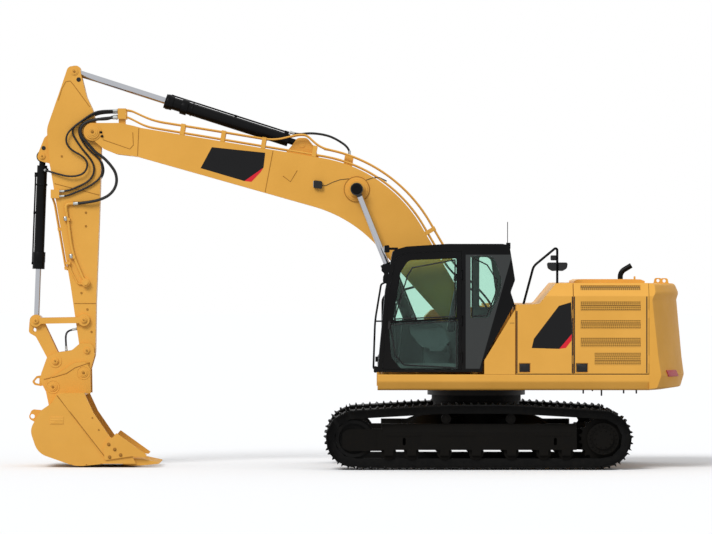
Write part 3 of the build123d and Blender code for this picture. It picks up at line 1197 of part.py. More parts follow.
def pipe_run(y, h, front):
    """One pipe from its front points over the bend to the boom's foot."""
    crest = BOOM_OUTLINE[4]
    up = unit(crest, above_boom(0, 1))
    back = unit(crest, behind_boom(0, 1))
    lift = h / (1 + up[0] * back[0] + up[1] * back[1])
    bend = (crest[0] + (up[0] + back[0]) * lift, crest[1] + (up[1] + back[1]) * lift)
    end = behind_boom(1480, h)
    return pipe([(x, y, z) for x, z in front]
                + [(bend[0], y, bend[1], crest[2] + h), (end[0], y, end[1])], PIPE_RADIUS)


def boom_piping():
    """Steel pipes in two layers on clamps along the boom's top, from the block at its nose."""
    front, rear, low, high = MANIFOLD
    pieces = []
    for y in PIPE_Y:
        pieces.append(pipe_run(y, LOW_PIPE, [(rear, low + 29), (-4640, low + 10),
                                             above_boom(3290, LOW_PIPE)]))
        pieces.append(pipe_run(y, HIGH_PIPE, [(rear, high - 20), (-4620, high - 30), (-4331, 4627),
                                              above_boom(2300, HIGH_PIPE), above_boom(1560, HIGH_PIPE),
                                              (-2396, 4440), (-2280, 4440),
                                              above_boom(930, HIGH_PIPE)]))
    for s in (1010, 1700, 2250, 2800):
        pieces.append(slab([above_boom(s - 28, 0), above_boom(s - 28, HIGH_PIPE + 20),
                            above_boom(s + 28, HIGH_PIPE + 20), above_boom(s + 28, 0)],
                           PIPE_Y[0] - 15, PIPE_Y[1] + 17))
    for s in (1000, 1440):
        pieces.append(slab([behind_boom(s - 28, 0), behind_boom(s - 28, HIGH_PIPE + 20),
                            behind_boom(s + 28, HIGH_PIPE + 20), behind_boom(s + 28, 0)],
                           PIPE_Y[0] - 15, PIPE_Y[1] + 17))
    pieces.append(slab([(front, low), (front, high), (rear, high), (rear, low)],
                       PIPE_Y[0] - 14, PIPE_Y[1] + 30))
    pieces.append(slab([(front + 10, low + 5), (rear - 20, low + 5), (rear - 20, 4576),
                        (front + 10, 4592)], PIPE_Y[0], PIPE_Y[0] + 14))
    side = joined(pieces) - slab(BOOM_OUTLINE, 0, BOOM_HALF)
    valve = slab([above_boom(480, -60), above_boom(480, 95), above_boom(600, 95),
                  above_boom(600, -60)], -70, 70) - slab(BOOM_OUTLINE, -90, 90)
    return both(side) + [valve]


def boom_hoses():
    """Two short hoses from the block on the boom to the port of the stick's cylinder."""
    route = [above_boom(540, 95 + SEAT_GAP), above_boom(540, 190), (-1900, 4400), (-2060, 4450),
             (-2250, 4466), (-2397.6, 4442.9), (-2502.4, 4476.5)]
    return [hose(route, y, 15) for y in (-35, 35)]


ARM_HOSE_ROUTES = [
    ((-205, -91.3), 13, [(4763, 4860), (4757, 5042), (4721, 5144), (4650, 5247), (4529, 5409),
                       (4446, 5481), (4356, 5495), (4284, 5470), (4212, 5389), (4162, 5287),
                       (4091, 5216), (4009, 5205), (3928, 5247), (3888, 5328), (3877, 5460),
                       (3915, 5613), (3955, 5745), (3968, 5780), (3968, 5780)]),
    ((-174, -174), 13, [(4745, 4860), (4735, 5042), (4700, 5150), (4630, 5260), (4570, 5370),
                        (4500, 5412), (4426, 5398), (4328, 5336), (4233, 5267), (4152, 5195),
                        (4080, 5144), (3989, 5114), (3888, 5133), (3805, 5205), (3745, 5328),
                        (3682, 5480), (3682, 5584.5)]),
    ((-174, -174), 13, [(4690, 4860), (4650, 4951), (4650, 5103), (4625, 5206), (4575, 5290),
                        (4498, 5328), (4406, 5306), (4304, 5247), (4203, 5155), (4131, 5063),
                        (4060, 5022), (3958, 5002), (3866, 5033), (3785, 5124), (3715, 5247),
                        (3663, 5379), (3616, 5490), (3616, 5584.5)]),
]
LOW_HOSE = [(-4860, 4668), (-5040, 4650), (-5206, 4619), (-5300, 4549), (-5300, 4426),
            (-5206, 4328), (-5103, 4203), (-5002, 4142), (-4900, 4039), (-4819, 3918),
            (-4813, 3765), (-4900, 3632), (-5053, 3561), (-5200, 3535)]


def arm_hoses():
    """Hoses hanging from the block at the boom's nose to the stick and the bucket's cylinder."""
    front = MANIFOLD[0] - SEAT_GAP
    found = []
    for (y, y_end), radius, route in ARM_HOSE_ROUTES:
        points = [(front, route[0][0])] + [(-x, z) for z, x in route]
        line = [(x, y, z) for x, z in points]
        if y != y_end:
            line[-4:] = [(x, side, z) for (x, _, z), side in zip(line[-4:], (-187, -176, -130, y_end))]
        found.append(pipe(line, radius))
        if y == y_end:
            found.append(pipe([(x, -side, z) for x, side, z in line], radius))
    found.append(pipe([(front, -212, LOW_HOSE[0][1])] + [(x, -212, z) for x, z in LOW_HOSE]
                      + [(-5330, -174, 3520.2), (-5399.7, -174, 3516.02)], 20))
    return found


def stick_piping():
    """Pipes, port blocks and the valve on the stick's left side and front edge."""
    face = STICK_HALF
    y = -face - 24
    elbow = pipe([(-5400, y, 3516), (-5500, y, 3510), (-5490, y, 3400)], 20)
    run = pipe([(-5494, y, 3440), (-5462, y, 3248), (-5413, y, 2861), (-5269, y, 2524),
                (-5240, y, 2480)], 18)
    thin = pipe([(-5476, y + 6, 2760), (-5420, y + 6, 2600), (-5331, y + 6, 2436),
                 (-5260, y + 6, 2440)], 9)
    valve = [disc((-5232, 2461), 55, -face, -face - 62), disc((-5232, 2461), 34, -face - 62, -face - 80)]
    clamps = [block(x - 34, x + 34, -face - 48, -face, z - 18, z + 18)
              for x, z in ((-5476, 3304), (-5406, 2798), (-5470, 2720))]
    left = joined([elbow, run, thin] + valve + clamps)
    ports = []
    for side in (-1, 1):
        ports.append(joined([
            slab([(-5700, 3590), (-5700, 3705), (-5585, 3705), (-5585, 3590)],
                 side * (face + 1), side * (face + 40)),
            slab([(-5700, 3590), (-5700, 3705), (-5664, 3705), (-5664, 3590)],
                 side * 70, side * (face + 5))]))
    head, foot = (-5652, 3671), (-5434, 2415)
    way = unit(head, foot)

    def ahead(s, off):
        """Point s down the stick's front edge, off in front of it."""
        return head[0] + way[0] * s + way[1] * off, head[1] + way[1] * s - way[0] * off

    edge_pipes = []
    for y in (-112, -84, 84, 112):
        route = [(-5682, 3592), ahead(160, 30), ahead(1000, 30), ahead(1060, 8)]
        edge_pipes.append(pipe([(x, y, z) for x, z in route], 10, 0.3))
    blocks = []
    for s in (500, 1030):
        for side in (-1, 1):
            blocks.append(slab([ahead(s - 20, 0), ahead(s - 20, 44), ahead(s + 20, 44),
                                ahead(s + 20, 0)], side * 70, side * 126))
    stick_body = slab(STICK_OUTLINE, -face, face)
    front = [joined(group) - stick_body for group in (
        [ports[0]] + edge_pipes[:2] + blocks[0::2], [ports[1]] + edge_pipes[2:] + blocks[1::2])]
    return [left] + front


def coupler_hose():
    """Hose from the stick's front edge to the coupler."""
    return pipe([(-5351.1, -120, 1840), (-5440, -120, 1827), (-5501, -160, 1780),
                 (-5496, -176, 1640), (-5490, -176, 1544)], 13)


def boom_foot_hoses():
    """Hoses from the ends of the boom's pipes down behind its foot."""
    found = []
    for h in (LOW_PIPE, HIGH_PIPE):
        x, z = behind_boom(1480.3, h)
        near = behind_boom(1600, h)
        for y in PIPE_Y:
            for side in (-1, 1):
                route = [(x, side * y, z), (near[0], side * y, near[1]),
                         (120 + h * 0.8, side * (y - 10), 2190), (190 + h * 0.8, side * (y - 20), 1850),
                         (166 + h * 0.05, side * (y - 20), 1660),
                         (166 + h * 0.05, side * (y - 20), 1560 + SEAT_GAP)]
                found.append(pipe(route, 11))
    return found


def main():
    os.makedirs("parts", exist_ok=True)
    for name, side in (("left", -1), ("right", 1)):
        save(f"track_{name}", track(side))
        save(f"track_frame_{name}", track_frame(side))
    save("idlers", [idler(-1), idler(1)])
    save("sprockets", [sprocket(-1), sprocket(1)])
    save("rollers", rollers())
    save("car_body", car_body())
    save("swing_bearing", swing_bearing())
    save("upper_frame", upper_frame())
    save("boom_girders", boom_girders())
    save("cylinder_ears", cylinder_ears())
    save("counterweight", counterweight())
    save("left_front_door", left_front_door())
    save("left_rear_door", rear_door(-1))
    save("right_rear_door", rear_door(1))
    save("house_shell", house_shell())
    save("side_panel", side_panel())
    save("engine_hood", engine_hood())
    save("engine_block", engine_block())
    save("fuel_tank", fuel_tank())
    save("hydraulic_tank", hydraulic_tank())
    save("tool_box", tool_box())
    save("exhaust_stack", exhaust_stack())
    save("handrails", handrails())
    save("mirrors", mirrors())
    save("cab_shell", cab_shell())
    save("cab_windows", cab_windows())
    save("cab_door", cab_door())
    save("cab_door_glass", cab_door_glass())
    save("cab_door_handle", cab_door_handle())
    save("cab_fittings", cab_fittings())
    save("seat", seat())
    save("controls", controls())
    save("boom", boom())
    save("stick", stick())
    barrels, rods = boom_cylinders()
    save("boom_cylinder_barrels", barrels)
    save("boom_cylinder_rods", rods)
    save("stick_cylinder_barrel", barrel(STICK_CYL_FOOT, STICK_EYE, 0, STICK_BARREL_RADIUS,
                                         STICK_BARREL_LENGTH, STICK_ROD_RADIUS, EAR_INNER - 6,
                                         190, 35, 60))
    save("stick_cylinder_rod", rod(STICK_CYL_FOOT, STICK_EYE, 0, STICK_BARREL_RADIUS - BARREL_WALL,
                                   1860, STICK_ROD_RADIUS, EAR_INNER - 8))
    port = Pos(-68, 45, 182) * Box(46, 84, 50)
    save("bucket_cylinder_barrel", barrel(BUCKET_CYL_FOOT, LINK_PIN, 0, BUCKET_BARREL_RADIUS,
                                          BUCKET_BARREL_LENGTH, BUCKET_ROD_RADIUS, EAR_INNER - 8,
                                          120, extra=[port]))
    save("bucket_cylinder_rod", rod(BUCKET_CYL_FOOT, LINK_PIN, 0,
                                    BUCKET_BARREL_RADIUS - BARREL_WALL, 1480, BUCKET_ROD_RADIUS,
                                    ROD_EYE_HALF))
    save("idler_links", idler_links())
    save("power_link", power_link())
    save("coupler", coupler())
    save("bucket", bucket())
    save("bucket_teeth", bucket_teeth())
    save("boom_piping", boom_piping())
    save("boom_lamps", boom_lamps())
    save("boom_hoses", boom_hoses())
    save("boom_foot_hoses", boom_foot_hoses())
    save("arm_hoses", arm_hoses())
    save("stick_piping", stick_piping())
    save("coupler_hose", coupler_hose())


main()
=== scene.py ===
"""Looks for the crawler excavator: camera, hoses, finishes, light and the small pieces.

Sizes taken from the machine's drawing are in millimetres about its swing axis, with the front
at -X, the left at -Y and the ground at Z = 0. The function spot() puts them in the frame.
"""

import math

import bmesh
import bpy
from mathutils import Matrix, Vector


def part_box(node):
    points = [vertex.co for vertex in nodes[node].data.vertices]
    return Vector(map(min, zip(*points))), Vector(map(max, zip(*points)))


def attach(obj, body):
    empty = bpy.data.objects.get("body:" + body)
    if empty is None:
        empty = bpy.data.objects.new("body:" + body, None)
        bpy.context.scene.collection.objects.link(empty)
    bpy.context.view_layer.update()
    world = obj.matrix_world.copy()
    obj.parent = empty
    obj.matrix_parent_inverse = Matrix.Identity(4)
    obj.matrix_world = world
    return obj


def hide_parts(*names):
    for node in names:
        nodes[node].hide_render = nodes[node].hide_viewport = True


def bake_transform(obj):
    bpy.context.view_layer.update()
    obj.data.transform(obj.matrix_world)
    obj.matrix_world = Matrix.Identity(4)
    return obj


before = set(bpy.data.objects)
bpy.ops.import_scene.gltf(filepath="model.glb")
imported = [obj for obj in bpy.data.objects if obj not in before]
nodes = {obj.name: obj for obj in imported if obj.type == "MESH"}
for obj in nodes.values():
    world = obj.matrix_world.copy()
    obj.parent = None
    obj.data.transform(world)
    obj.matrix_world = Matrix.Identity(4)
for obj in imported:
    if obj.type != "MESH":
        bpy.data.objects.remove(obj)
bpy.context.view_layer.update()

SWING_X = 1615              # swing axis in the frame
HOUSE_HALF = 1400
BOOM_HALF = 215
STICK_HALF = 150
BUCKET_HALF = 600
DRIVE_AXLE = (1640, 405)
BOOM_EYE = (-1604, 3709)
FAR_OFF = 3000              # a ray towards the middle plane starts this far out


def spot(x, y, z):
    """A point of the drawing, in metres in the frame."""
    return Vector(((x + SWING_X) / 1000, y / 1000, z / 1000))


# Camera, level and square to the left side, far off as in the photograph

camera_data = bpy.data.cameras.new("photo_camera")
camera_data.sensor_width = 36
camera_data.lens = 266
camera_data.clip_end = 300
camera = bpy.data.objects.new("photo_camera", camera_data)
camera.location = (0.002, -70.6, 2.668)
camera.rotation_euler = (math.radians(90), 0, 0)
bpy.context.scene.collection.objects.link(camera)
bpy.context.scene.camera = camera


# Modelling by hand

def alone(obj):
    """Select one object and nothing else."""
    clear_selection()
    obj.select_set(True)
    bpy.context.view_layer.objects.active = obj


def clear_selection():
    if bpy.context.mode != "OBJECT":
        bpy.ops.object.mode_set(mode="OBJECT")
    bpy.ops.object.select_all(action="DESELECT")


def started(name):
    """The primitive that was just added, under its name, in edit mode with no face selected."""
    obj = bpy.context.active_object
    obj.name = name
    obj.data.name = name
    bpy.ops.object.mode_set(mode="EDIT")
    bpy.ops.mesh.select_mode(type="FACE")
    bpy.ops.mesh.select_all(action="DESELECT")
    return obj


def pick(obj, test):
    """Select the faces whose middle and normal, on the object's axes, pass the test."""
    mesh = bmesh.from_edit_mesh(obj.data)
    bpy.ops.mesh.select_all(action="DESELECT")
    for face in mesh.faces:
        face.select_set(bool(test(face.calc_center_median(), face.normal)))
    bmesh.update_edit_mesh(obj.data)


def done(obj, width=0.0, segments=2, smooth=35):
    """Leave edit mode, put the place into the mesh, turn the faces out and soften the edges."""
    alone(obj)
    bpy.ops.object.transform_apply(location=True, rotation=True, scale=True)
    bpy.ops.object.mode_set(mode="EDIT")
    bpy.ops.mesh.select_all(action="SELECT")
    bpy.ops.mesh.remove_doubles(threshold=0.00001)
    bpy.ops.mesh.normals_make_consistent(inside=False)
    bpy.ops.object.mode_set(mode="OBJECT")
    if width:
        bevel = obj.modifiers.new("edge", "BEVEL")
        bevel.width = width
        bevel.segments = segments
        bevel.limit_method = "ANGLE"
        bpy.ops.object.modifier_apply(modifier=bevel.name)
    bpy.ops.object.shade_smooth_by_angle(angle=math.radians(smooth))
    return obj


def joined(name, found):
    """Several finished meshes as one piece."""
    alone(found[0])
    for obj in found[1:]:
        obj.select_set(True)
    if len(found) > 1:
        bpy.ops.object.join()
    found[0].name = name
    found[0].data.name = name
    return found[0]


def copied(obj, offset, name):
    """A copy with its own mesh, moved."""
    twin = obj.copy()
    twin.data = obj.data.copy()
    twin.name = name
    twin.data.transform(Matrix.Translation(offset))
    bpy.context.scene.collection.objects.link(twin)
    return twin


def rounded(corners):
    """The outline (x, z) with arcs where a corner (x, z, r) is rounded."""
    points = []
    for i, corner in enumerate(corners):
        here = Vector(corner[:2])
        if len(corner) < 3:
            points.append(here)
            continue
        back = (Vector(corners[i - 1][:2]) - here).normalized()
        ahead = (Vector(corners[(i + 1) % len(corners)][:2]) - here).normalized()
        half = back.angle(ahead) / 2
        radius = corner[2]
        middle = here + (back + ahead).normalized() * radius / math.sin(half)
        start = here + back * radius / math.tan(half) - middle
        end = here + ahead * radius / math.tan(half) - middle
        for step in range(7):
            points.append(middle + start.slerp(end, step / 6))
    return points


def panel(name, corners, out, thickness, edge=0.0):
    """A flat or slightly curved plate: its back's corners in space, raised along out."""
    clear_selection()
    bpy.ops.mesh.primitive_circle_add(vertices=len(corners), radius=1, fill_type="NGON")
    obj = started(name)
    mesh = bmesh.from_edit_mesh(obj.data)
    mesh.verts.ensure_lookup_table()
    for vert, corner in zip(mesh.verts, corners):
        vert.co = corner
    bmesh.update_edit_mesh(obj.data)
    bpy.ops.mesh.select_all(action="SELECT")
    bpy.ops.mesh.extrude_region_move(
        TRANSFORM_OT_translate={"value": Vector(out).normalized() * thickness / 1000})
    return done(obj, edge / 1000)


def side_plate(name, outline, y, rise, edge=0.0):
    """A plate on the plane at y, raised away from the middle plane. Corners are (x, z, r)."""
    corners = [spot(x, y, z) for x, z in rounded(outline)]
    return panel(name, corners, (0, math.copysign(1, y), 0), rise, edge)


def drum(name, place, far, radius, depth, sides, ends):
    """A cylinder in edit mode, from the face at place along far, with its ends filled or open."""
    clear_selection()
    bpy.ops.mesh.primitive_cylinder_add(
        vertices=sides, radius=radius / 1000, depth=depth / 1000, end_fill_type=ends,
        location=Vector(place) + far * depth / 2000,
        rotation=far.to_track_quat("Z", "Y").to_euler())
    return started(name)


def stepped(name, place, out, radius, depth, steps=(), sides=36, edge=1.0):
    """A turned head: a disc on its seat, then each (inset, rise) of its outer face."""
    far = Vector(out).normalized()
    obj = drum(name, place, far, radius, depth, sides, "NGON")
    pick(obj, lambda middle, normal: normal.z > 0.9)
    for inset, rise in steps:
        bpy.ops.mesh.inset(thickness=inset / 1000)
        bpy.ops.mesh.extrude_region_move(TRANSFORM_OT_translate={"value": far * rise / 1000})
    return done(obj, edge / 1000, 1)


def ring(name, place, out, radius, depth, inner):
    """A turned collar with its bore, from the face at place along out."""
    obj = drum(name, place, Vector(out).normalized(), radius, depth, 40, "NOTHING")
    bpy.ops.object.mode_set(mode="OBJECT")
    wall = obj.modifiers.new("wall", "SOLIDIFY")
    wall.thickness = (radius - inner) / 1000
    wall.offset = -1
    bpy.ops.object.modifier_apply(modifier=wall.name)
    return done(obj, 0.004)


def bolt(name, place, out, radius):
    """A washer with the six-sided head on it."""
    washer = stepped(name, place, out, radius * 1.4, 4, sides=20)
    head = stepped(name + "_head", Vector(place) + Vector(out).normalized() * 0.003, out,
                   radius, radius * 0.8, [(radius * 0.14, radius * 0.1)], sides=6)
    return joined(name, [washer, head])


def bolts(name, places, out, radius):
    """Like bolts at several places, as one piece."""
    first = bolt(name, places[0], out, radius)
    others = [copied(first, Vector(place) - Vector(places[0]), f"{name}_{i}")
              for i, place in enumerate(places[1:])]
    return joined(name, [first] + others)


def circle_places(middle, radius, count):
    """Points evenly round a circle about an axis along Y."""
    angles = [2 * math.pi * i / count for i in range(count)]
    return [middle + Vector((math.cos(a), 0, math.sin(a))) * radius / 1000 for a in angles]


def meshed(name, curve, smooth):
    """The mesh of a curve, which it takes the place of."""
    bpy.context.view_layer.update()
    mesh = bpy.data.meshes.new_from_object(curve)
    mesh.name = name
    bpy.data.objects.remove(curve)
    obj = bpy.data.objects.new(name, mesh)
    bpy.context.scene.collection.objects.link(obj)
    return done(obj, smooth=smooth)


def bead(name, points, radius, closed=False, sides=2):
    """A round bar, weld seam, wire or seal along points in space."""
    data = bpy.data.curves.new(name, "CURVE")
    data.dimensions = "3D"
    data.bevel_depth = radius / 1000
    data.bevel_resolution = sides
    data.use_fill_caps = not closed
    spline = data.splines.new("POLY")
    spline.points.add(len(points) - 1)
    for point, place in zip(spline.points, points):
        point.co = (*place, 1)
    spline.use_cyclic_u = closed
    curve = bpy.data.objects.new(name + "_line", data)
    bpy.context.scene.collection.objects.link(curve)
    return meshed(name, curve, 60)


def on_node(node, start, way):
    """Where a ray from start along way meets a node of the drawing, and the face's direction."""
    hit, place, normal, _ = nodes[node].ray_cast(Vector(start), Vector(way).normalized())
    if not hit:
        raise ValueError(f"nothing of {node} lies that way")
    return place, normal


def both_sides(make):
    """The piece on the left and on the right. make takes -1 or 1 and the word for it."""
    return [make(side, word) for side, word in ((-1, "left"), (1, "right"))]


def piece(obj, body, finish):
    """Give a finished piece its body and its material."""
    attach(obj, body)
    obj.data.materials.clear()
    obj.data.materials.append(finish)
    return obj


# Finishes

def linear(colour):
    """An sRGB hex colour as linear values."""
    parts = [int(colour[i:i + 2], 16) / 255 for i in (1, 3, 5)]
    return tuple(c / 12.92 if c <= 0.04045 else ((c + 0.055) / 1.055) ** 2.4 for c in parts) + (1,)


def add(tree, kind, inputs=None, **settings):
    """One node with its settings, its constants and its links."""
    node = tree.nodes.new("ShaderNode" + kind)
    for name, value in settings.items():
        setattr(node, name, value)
    for name, value in (inputs or {}).items():
        if isinstance(value, bpy.types.NodeSocket):
            tree.links.new(value, node.inputs[name])
        else:
            node.inputs[name].default_value = value
    return node


def emptied(name):
    """A new material and its node tree with nothing in it."""
    material = bpy.data.materials.new(name)
    material.use_nodes = True
    material.node_tree.nodes.clear()
    return material, material.node_tree


def blank(name):
    """A new material with only its surface shader and its output."""
    material, tree = emptied(name)
    shader = add(tree, "BsdfPrincipled")
    add(tree, "OutputMaterial", {"Surface": shader.outputs["BSDF"]})
    return material, tree, shader


def constants(shader, values):
    """Numbers and colours that are the same all over, on the shader's own sockets."""
    for name, value in values.items():
        shader.inputs[name].default_value = value


def coated(tree, shader, surface):
    """Give the shader a colour that changes over the surface."""
    tree.links.new(surface, shader.inputs["Base Color"])


def glossy(tree, shader, gloss):
    """Give the shader a roughness that changes over the surface."""
    tree.links.new(gloss, shader.inputs["Roughness"])


def combined(tree, operation, first, second):
    """The result of a sum on two values."""
    return add(tree, "Math", {0: first, 1: second}, operation=operation).outputs["Value"]


def product(tree, first, *others):
    """Values multiplied."""
    for other in others:
        first = combined(tree, "MULTIPLY", first, other)
    return first


def between(tree, value, low, high):
    """1 where the value lies between low and high, else 0."""
    return product(tree, combined(tree, "GREATER_THAN", value, low),
                   combined(tree, "LESS_THAN", value, high))


def noise(tree, coords, scale, detail, roughness=0.5):
    """A cloudy pattern from 0 to 1."""
    return add(tree, "TexNoise", {"Vector": coords, "Scale": scale, "Detail": detail,
                                  "Roughness": roughness}).outputs["Fac"]


def ramp(tree, value, low, high, to_low, to_high):
    """The value's stretch from low to high, laid over another stretch."""
    return add(tree, "MapRange", {"Value": value, "From Min": low, "From Max": high,
                                  "To Min": to_low, "To Max": to_high}).outputs["Result"]


def blended(tree, mask, first, second):
    """The first colour where the mask is 0 and the second where it is 1."""
    mix = add(tree, "Mix", data_type="RGBA")
    for socket, value in ((mix.inputs[0], mask), (mix.inputs[6], first), (mix.inputs[7], second)):
        if isinstance(value, bpy.types.NodeSocket):
            tree.links.new(value, socket)
        else:
            socket.default_value = value
    return mix.outputs[2]


def bumped(tree, shader, height, strength, distance):
    """Raise and lower the surface by a height."""
    bump = add(tree, "Bump", {"Height": height, "Strength": strength, "Distance": distance})
    tree.links.new(bump.outputs["Normal"], shader.inputs["Normal"])


def enamel(name, colour, shade, roughness, dust=0.08, level=0.25, regions=()):
    """Sprayed two-part enamel over steel plate: even, satin to gloss, a little cloudy.

    A thin film of dust thickens towards the ground, and the orange peel of a sprayed coat is
    drawn at 4 mm. Each of the regions is a function, 1 where the coat has the colour beside it.
    """
    material, tree, shader = blank(name)
    coords = add(tree, "TexCoord").outputs["Object"]
    place = add(tree, "SeparateXYZ", {"Vector": coords})
    spread = ramp(tree, noise(tree, coords, 1.6, 4.0), 0.35, 0.75, 0.0, 0.8)
    surface = blended(tree, spread, linear(colour), linear(shade))
    for region, own_colour in regions:
        surface = blended(tree, region(tree, place), surface, linear(own_colour))
    grit = noise(tree, coords, 9.0, 8.0, 0.7)
    film = product(tree, grit, ramp(tree, place.outputs["Z"], 2.2, 0.0, 0.0, dust))
    coated(tree, shader, blended(tree, film, surface, linear("#8C7A5C")))
    glossy(tree, shader, ramp(tree, grit, 0.3, 0.8, roughness, roughness + 0.15))
    bumped(tree, shader, noise(tree, coords, 250.0, 2.0), 0.06, 0.001)
    constants(shader, {"IOR": 1.45, "Specular IOR Level": level})
    return material


def under_deck(tree, place):
    """The swing race and its flange, below the deck."""
    return between(tree, place.outputs["Z"], 0.0, 1.0445)


def inside_cab(tree, place):
    """The cab's lined inner faces."""
    across = between(tree, place.outputs["Y"], -1.3605, -0.5255)
    up = between(tree, place.outputs["Z"], 1.34, 2.925)
    along = between(tree, place.outputs["X"], 0.3, 2.02)
    return product(tree, across, up, along)


def rear_quarter(tree, place):
    """The grey panel round the quarter window, up to the slanting pillar."""
    slant = product(tree, place.outputs["Z"], -0.285)
    reach = combined(tree, "ADD", place.outputs["X"], slant)
    behind = between(tree, place.outputs["X"], 1.445, 2.2)
    ahead = between(tree, reach, -9.0, 1.25)
    outer = between(tree, place.outputs["Y"], -1.43, -1.3985)
    up = between(tree, place.outputs["Z"], 1.33, 2.83)
    return product(tree, behind, ahead, outer, up)


def perforated():
    """Painted vent plate with upright slots, punched 27 mm apart; the slots are not cut, their dark
    brown is painted shade.
    """
    material, tree, shader = blank("punched_vent_plate")
    coords = add(tree, "TexCoord").outputs["Object"]
    turned = add(tree, "Mapping", {"Vector": coords, "Rotation": (math.pi / 2, 0, 0)})
    holes = add(tree, "TexBrick", {"Vector": turned.outputs["Vector"], "Scale": 1.0,
                                   "Mortar Size": 0.005, "Mortar Smooth": 0.2,
                                   "Brick Width": 0.027, "Row Height": 0.06})
    paint = blended(tree, noise(tree, coords, 6.0, 4.0), linear("#B98936"), linear("#AA7C2E"))
    # painted shade: the slots are coloured dark brown where the shade inside them would be
    coated(tree, shader, blended(tree, holes.outputs["Fac"], paint, linear("#6E4F1C")))
    bumped(tree, shader, holes.outputs["Fac"], 0.5, 0.003)
    constants(shader, {"Roughness": 0.5, "Specular IOR Level": 0.3})
    return material


def bare_metal(name, colour, roughness, streak):
    """Ground and plated or bare metal: bright, with fine lengthwise lines."""
    material, tree, shader = blank(name)
    coords = add(tree, "TexCoord").outputs["Object"]
    lines = noise(tree, coords, streak, 3.0)
    glossy(tree, shader, ramp(tree, lines, 0.0, 1.0, roughness, roughness + 0.12))
    constants(shader, {"Base Color": linear(colour), "Metallic": 1.0})
    return material


def plated_rod(name):
    """Hard chrome plate on a ground rod, with the welded eye round its pin in black enamel."""
    material, tree, shader = blank(name)
    coords = add(tree, "TexCoord").outputs["Object"]
    place = add(tree, "SeparateXYZ", {"Vector": coords})
    flat = add(tree, "CombineXYZ", {"X": place.outputs["X"], "Z": place.outputs["Z"]})
    middle = spot(BOOM_EYE[0], 0, BOOM_EYE[1])
    reach = add(tree, "VectorMath", {0: flat.outputs["Vector"], 1: middle}, operation="DISTANCE")
    on_eye = between(tree, reach.outputs["Value"], -1.0, 0.112)
    coated(tree, shader, blended(tree, on_eye, linear("#B4B6BB"), linear("#0C0C0D")))
    tree.links.new(combined(tree, "SUBTRACT", 1.0, on_eye), shader.inputs["Metallic"])
    glossy(tree, shader, ramp(tree, noise(tree, coords, 30.0, 3.0), 0.0, 1.0, 0.12, 0.24))
    return material


def forged_steel(name, dark, worn):
    """Forged and rolled carbon steel: dark scale with rubbed, rusty and dusty places, pitted."""
    material, tree, shader = blank(name)
    coords = add(tree, "TexCoord").outputs["Object"]
    worn_places = ramp(tree, noise(tree, coords, 14.0, 8.0, 0.65), 0.42, 0.75, 0.0, 1.0)
    coated(tree, shader, blended(tree, worn_places, linear(dark), linear(worn)))
    bumped(tree, shader, noise(tree, coords, 120.0, 6.0), 0.25, 0.002)
    constants(shader, {"Roughness": 0.6, "Specular IOR Level": 0.12})
    return material


def tinted_glass():
    """Toughened tinted cab glass: clear with a green cast, a hard reflection and a faint smear."""
    material, tree = emptied("tinted_toughened_glass")
    coords = add(tree, "TexCoord").outputs["Object"]
    haze = ramp(tree, noise(tree, coords, 5.0, 5.0), 0.4, 0.8, 0.02, 0.08)
    clear = add(tree, "BsdfTransparent", {"Color": linear("#E8F7F1")})
    shine = add(tree, "BsdfGlossy", {"Roughness": haze})
    edge = add(tree, "Fresnel", {"IOR": 1.3})
    surface = add(tree, "MixShader", {"Fac": edge.outputs["Fac"]})
    tree.links.new(clear.outputs["BSDF"], surface.inputs[1])
    tree.links.new(shine.outputs["BSDF"], surface.inputs[2])
    add(tree, "OutputMaterial", {"Surface": surface.outputs["Shader"]})
    return material


def rubber(name, colour, light, scale, strength):
    """Wrapped or extruded synthetic rubber: dull black, with the fine weave of its wrapping."""
    material, tree, shader = blank(name)
    coords = add(tree, "TexCoord").outputs["Object"]
    wrap = noise(tree, coords, scale, 4.0)
    coated(tree, shader, blended(tree, wrap, linear(colour), linear(light)))
    bumped(tree, shader, wrap, strength, 0.001)
    constants(shader, {"Roughness": 0.5, "Specular IOR Level": 0.3})
    return material


def seat_fabric():
    """Flat-woven polyester seat cloth: charcoal, a soft sheen, and threads drawn 4 mm wide."""
    material, tree, shader = blank("woven_seat_cloth")
    coords = add(tree, "TexCoord").outputs["Object"]
    threads = [add(tree, "TexWave", {"Vector": coords, "Scale": 78.0, "Distortion": 0.4},
                   bands_direction=way).outputs["Fac"] for way in ("Y", "Z")]
    weave = product(tree, *threads)
    coated(tree, shader, blended(tree, weave, linear("#232427"), linear("#4C4E53")))
    bumped(tree, shader, weave, 0.4, 0.001)
    constants(shader, {"Roughness": 0.9, "Sheen Weight": 0.3})
    return material


def moulded(name, colour, light):
    """Injection-moulded plastic: even colour with a fine leather-like grain."""
    material, tree, shader = blank(name)
    coords = add(tree, "TexCoord").outputs["Object"]
    grain = add(tree, "TexVoronoi", {"Vector": coords, "Scale": 220.0})
    cloud = noise(tree, coords, 3.0, 3.0)
    coated(tree, shader, blended(tree, cloud, linear(colour), linear(light)))
    bumped(tree, shader, grain.outputs["Distance"], 0.1, 0.001)
    constants(shader, {"Roughness": 0.48, "Specular IOR Level": 0.3})
    return material


def vinyl(name, colour):
    """Cast vinyl film: one flat colour under a clear satin face, slightly scuffed."""
    material, tree, shader = blank(name)
    coords = add(tree, "TexCoord").outputs["Object"]
    glossy(tree, shader, ramp(tree, noise(tree, coords, 12.0, 7.0), 0.0, 1.0, 0.28, 0.45))
    constants(shader, {"Base Color": linear(colour), "Specular IOR Level": 0.2})
    return material


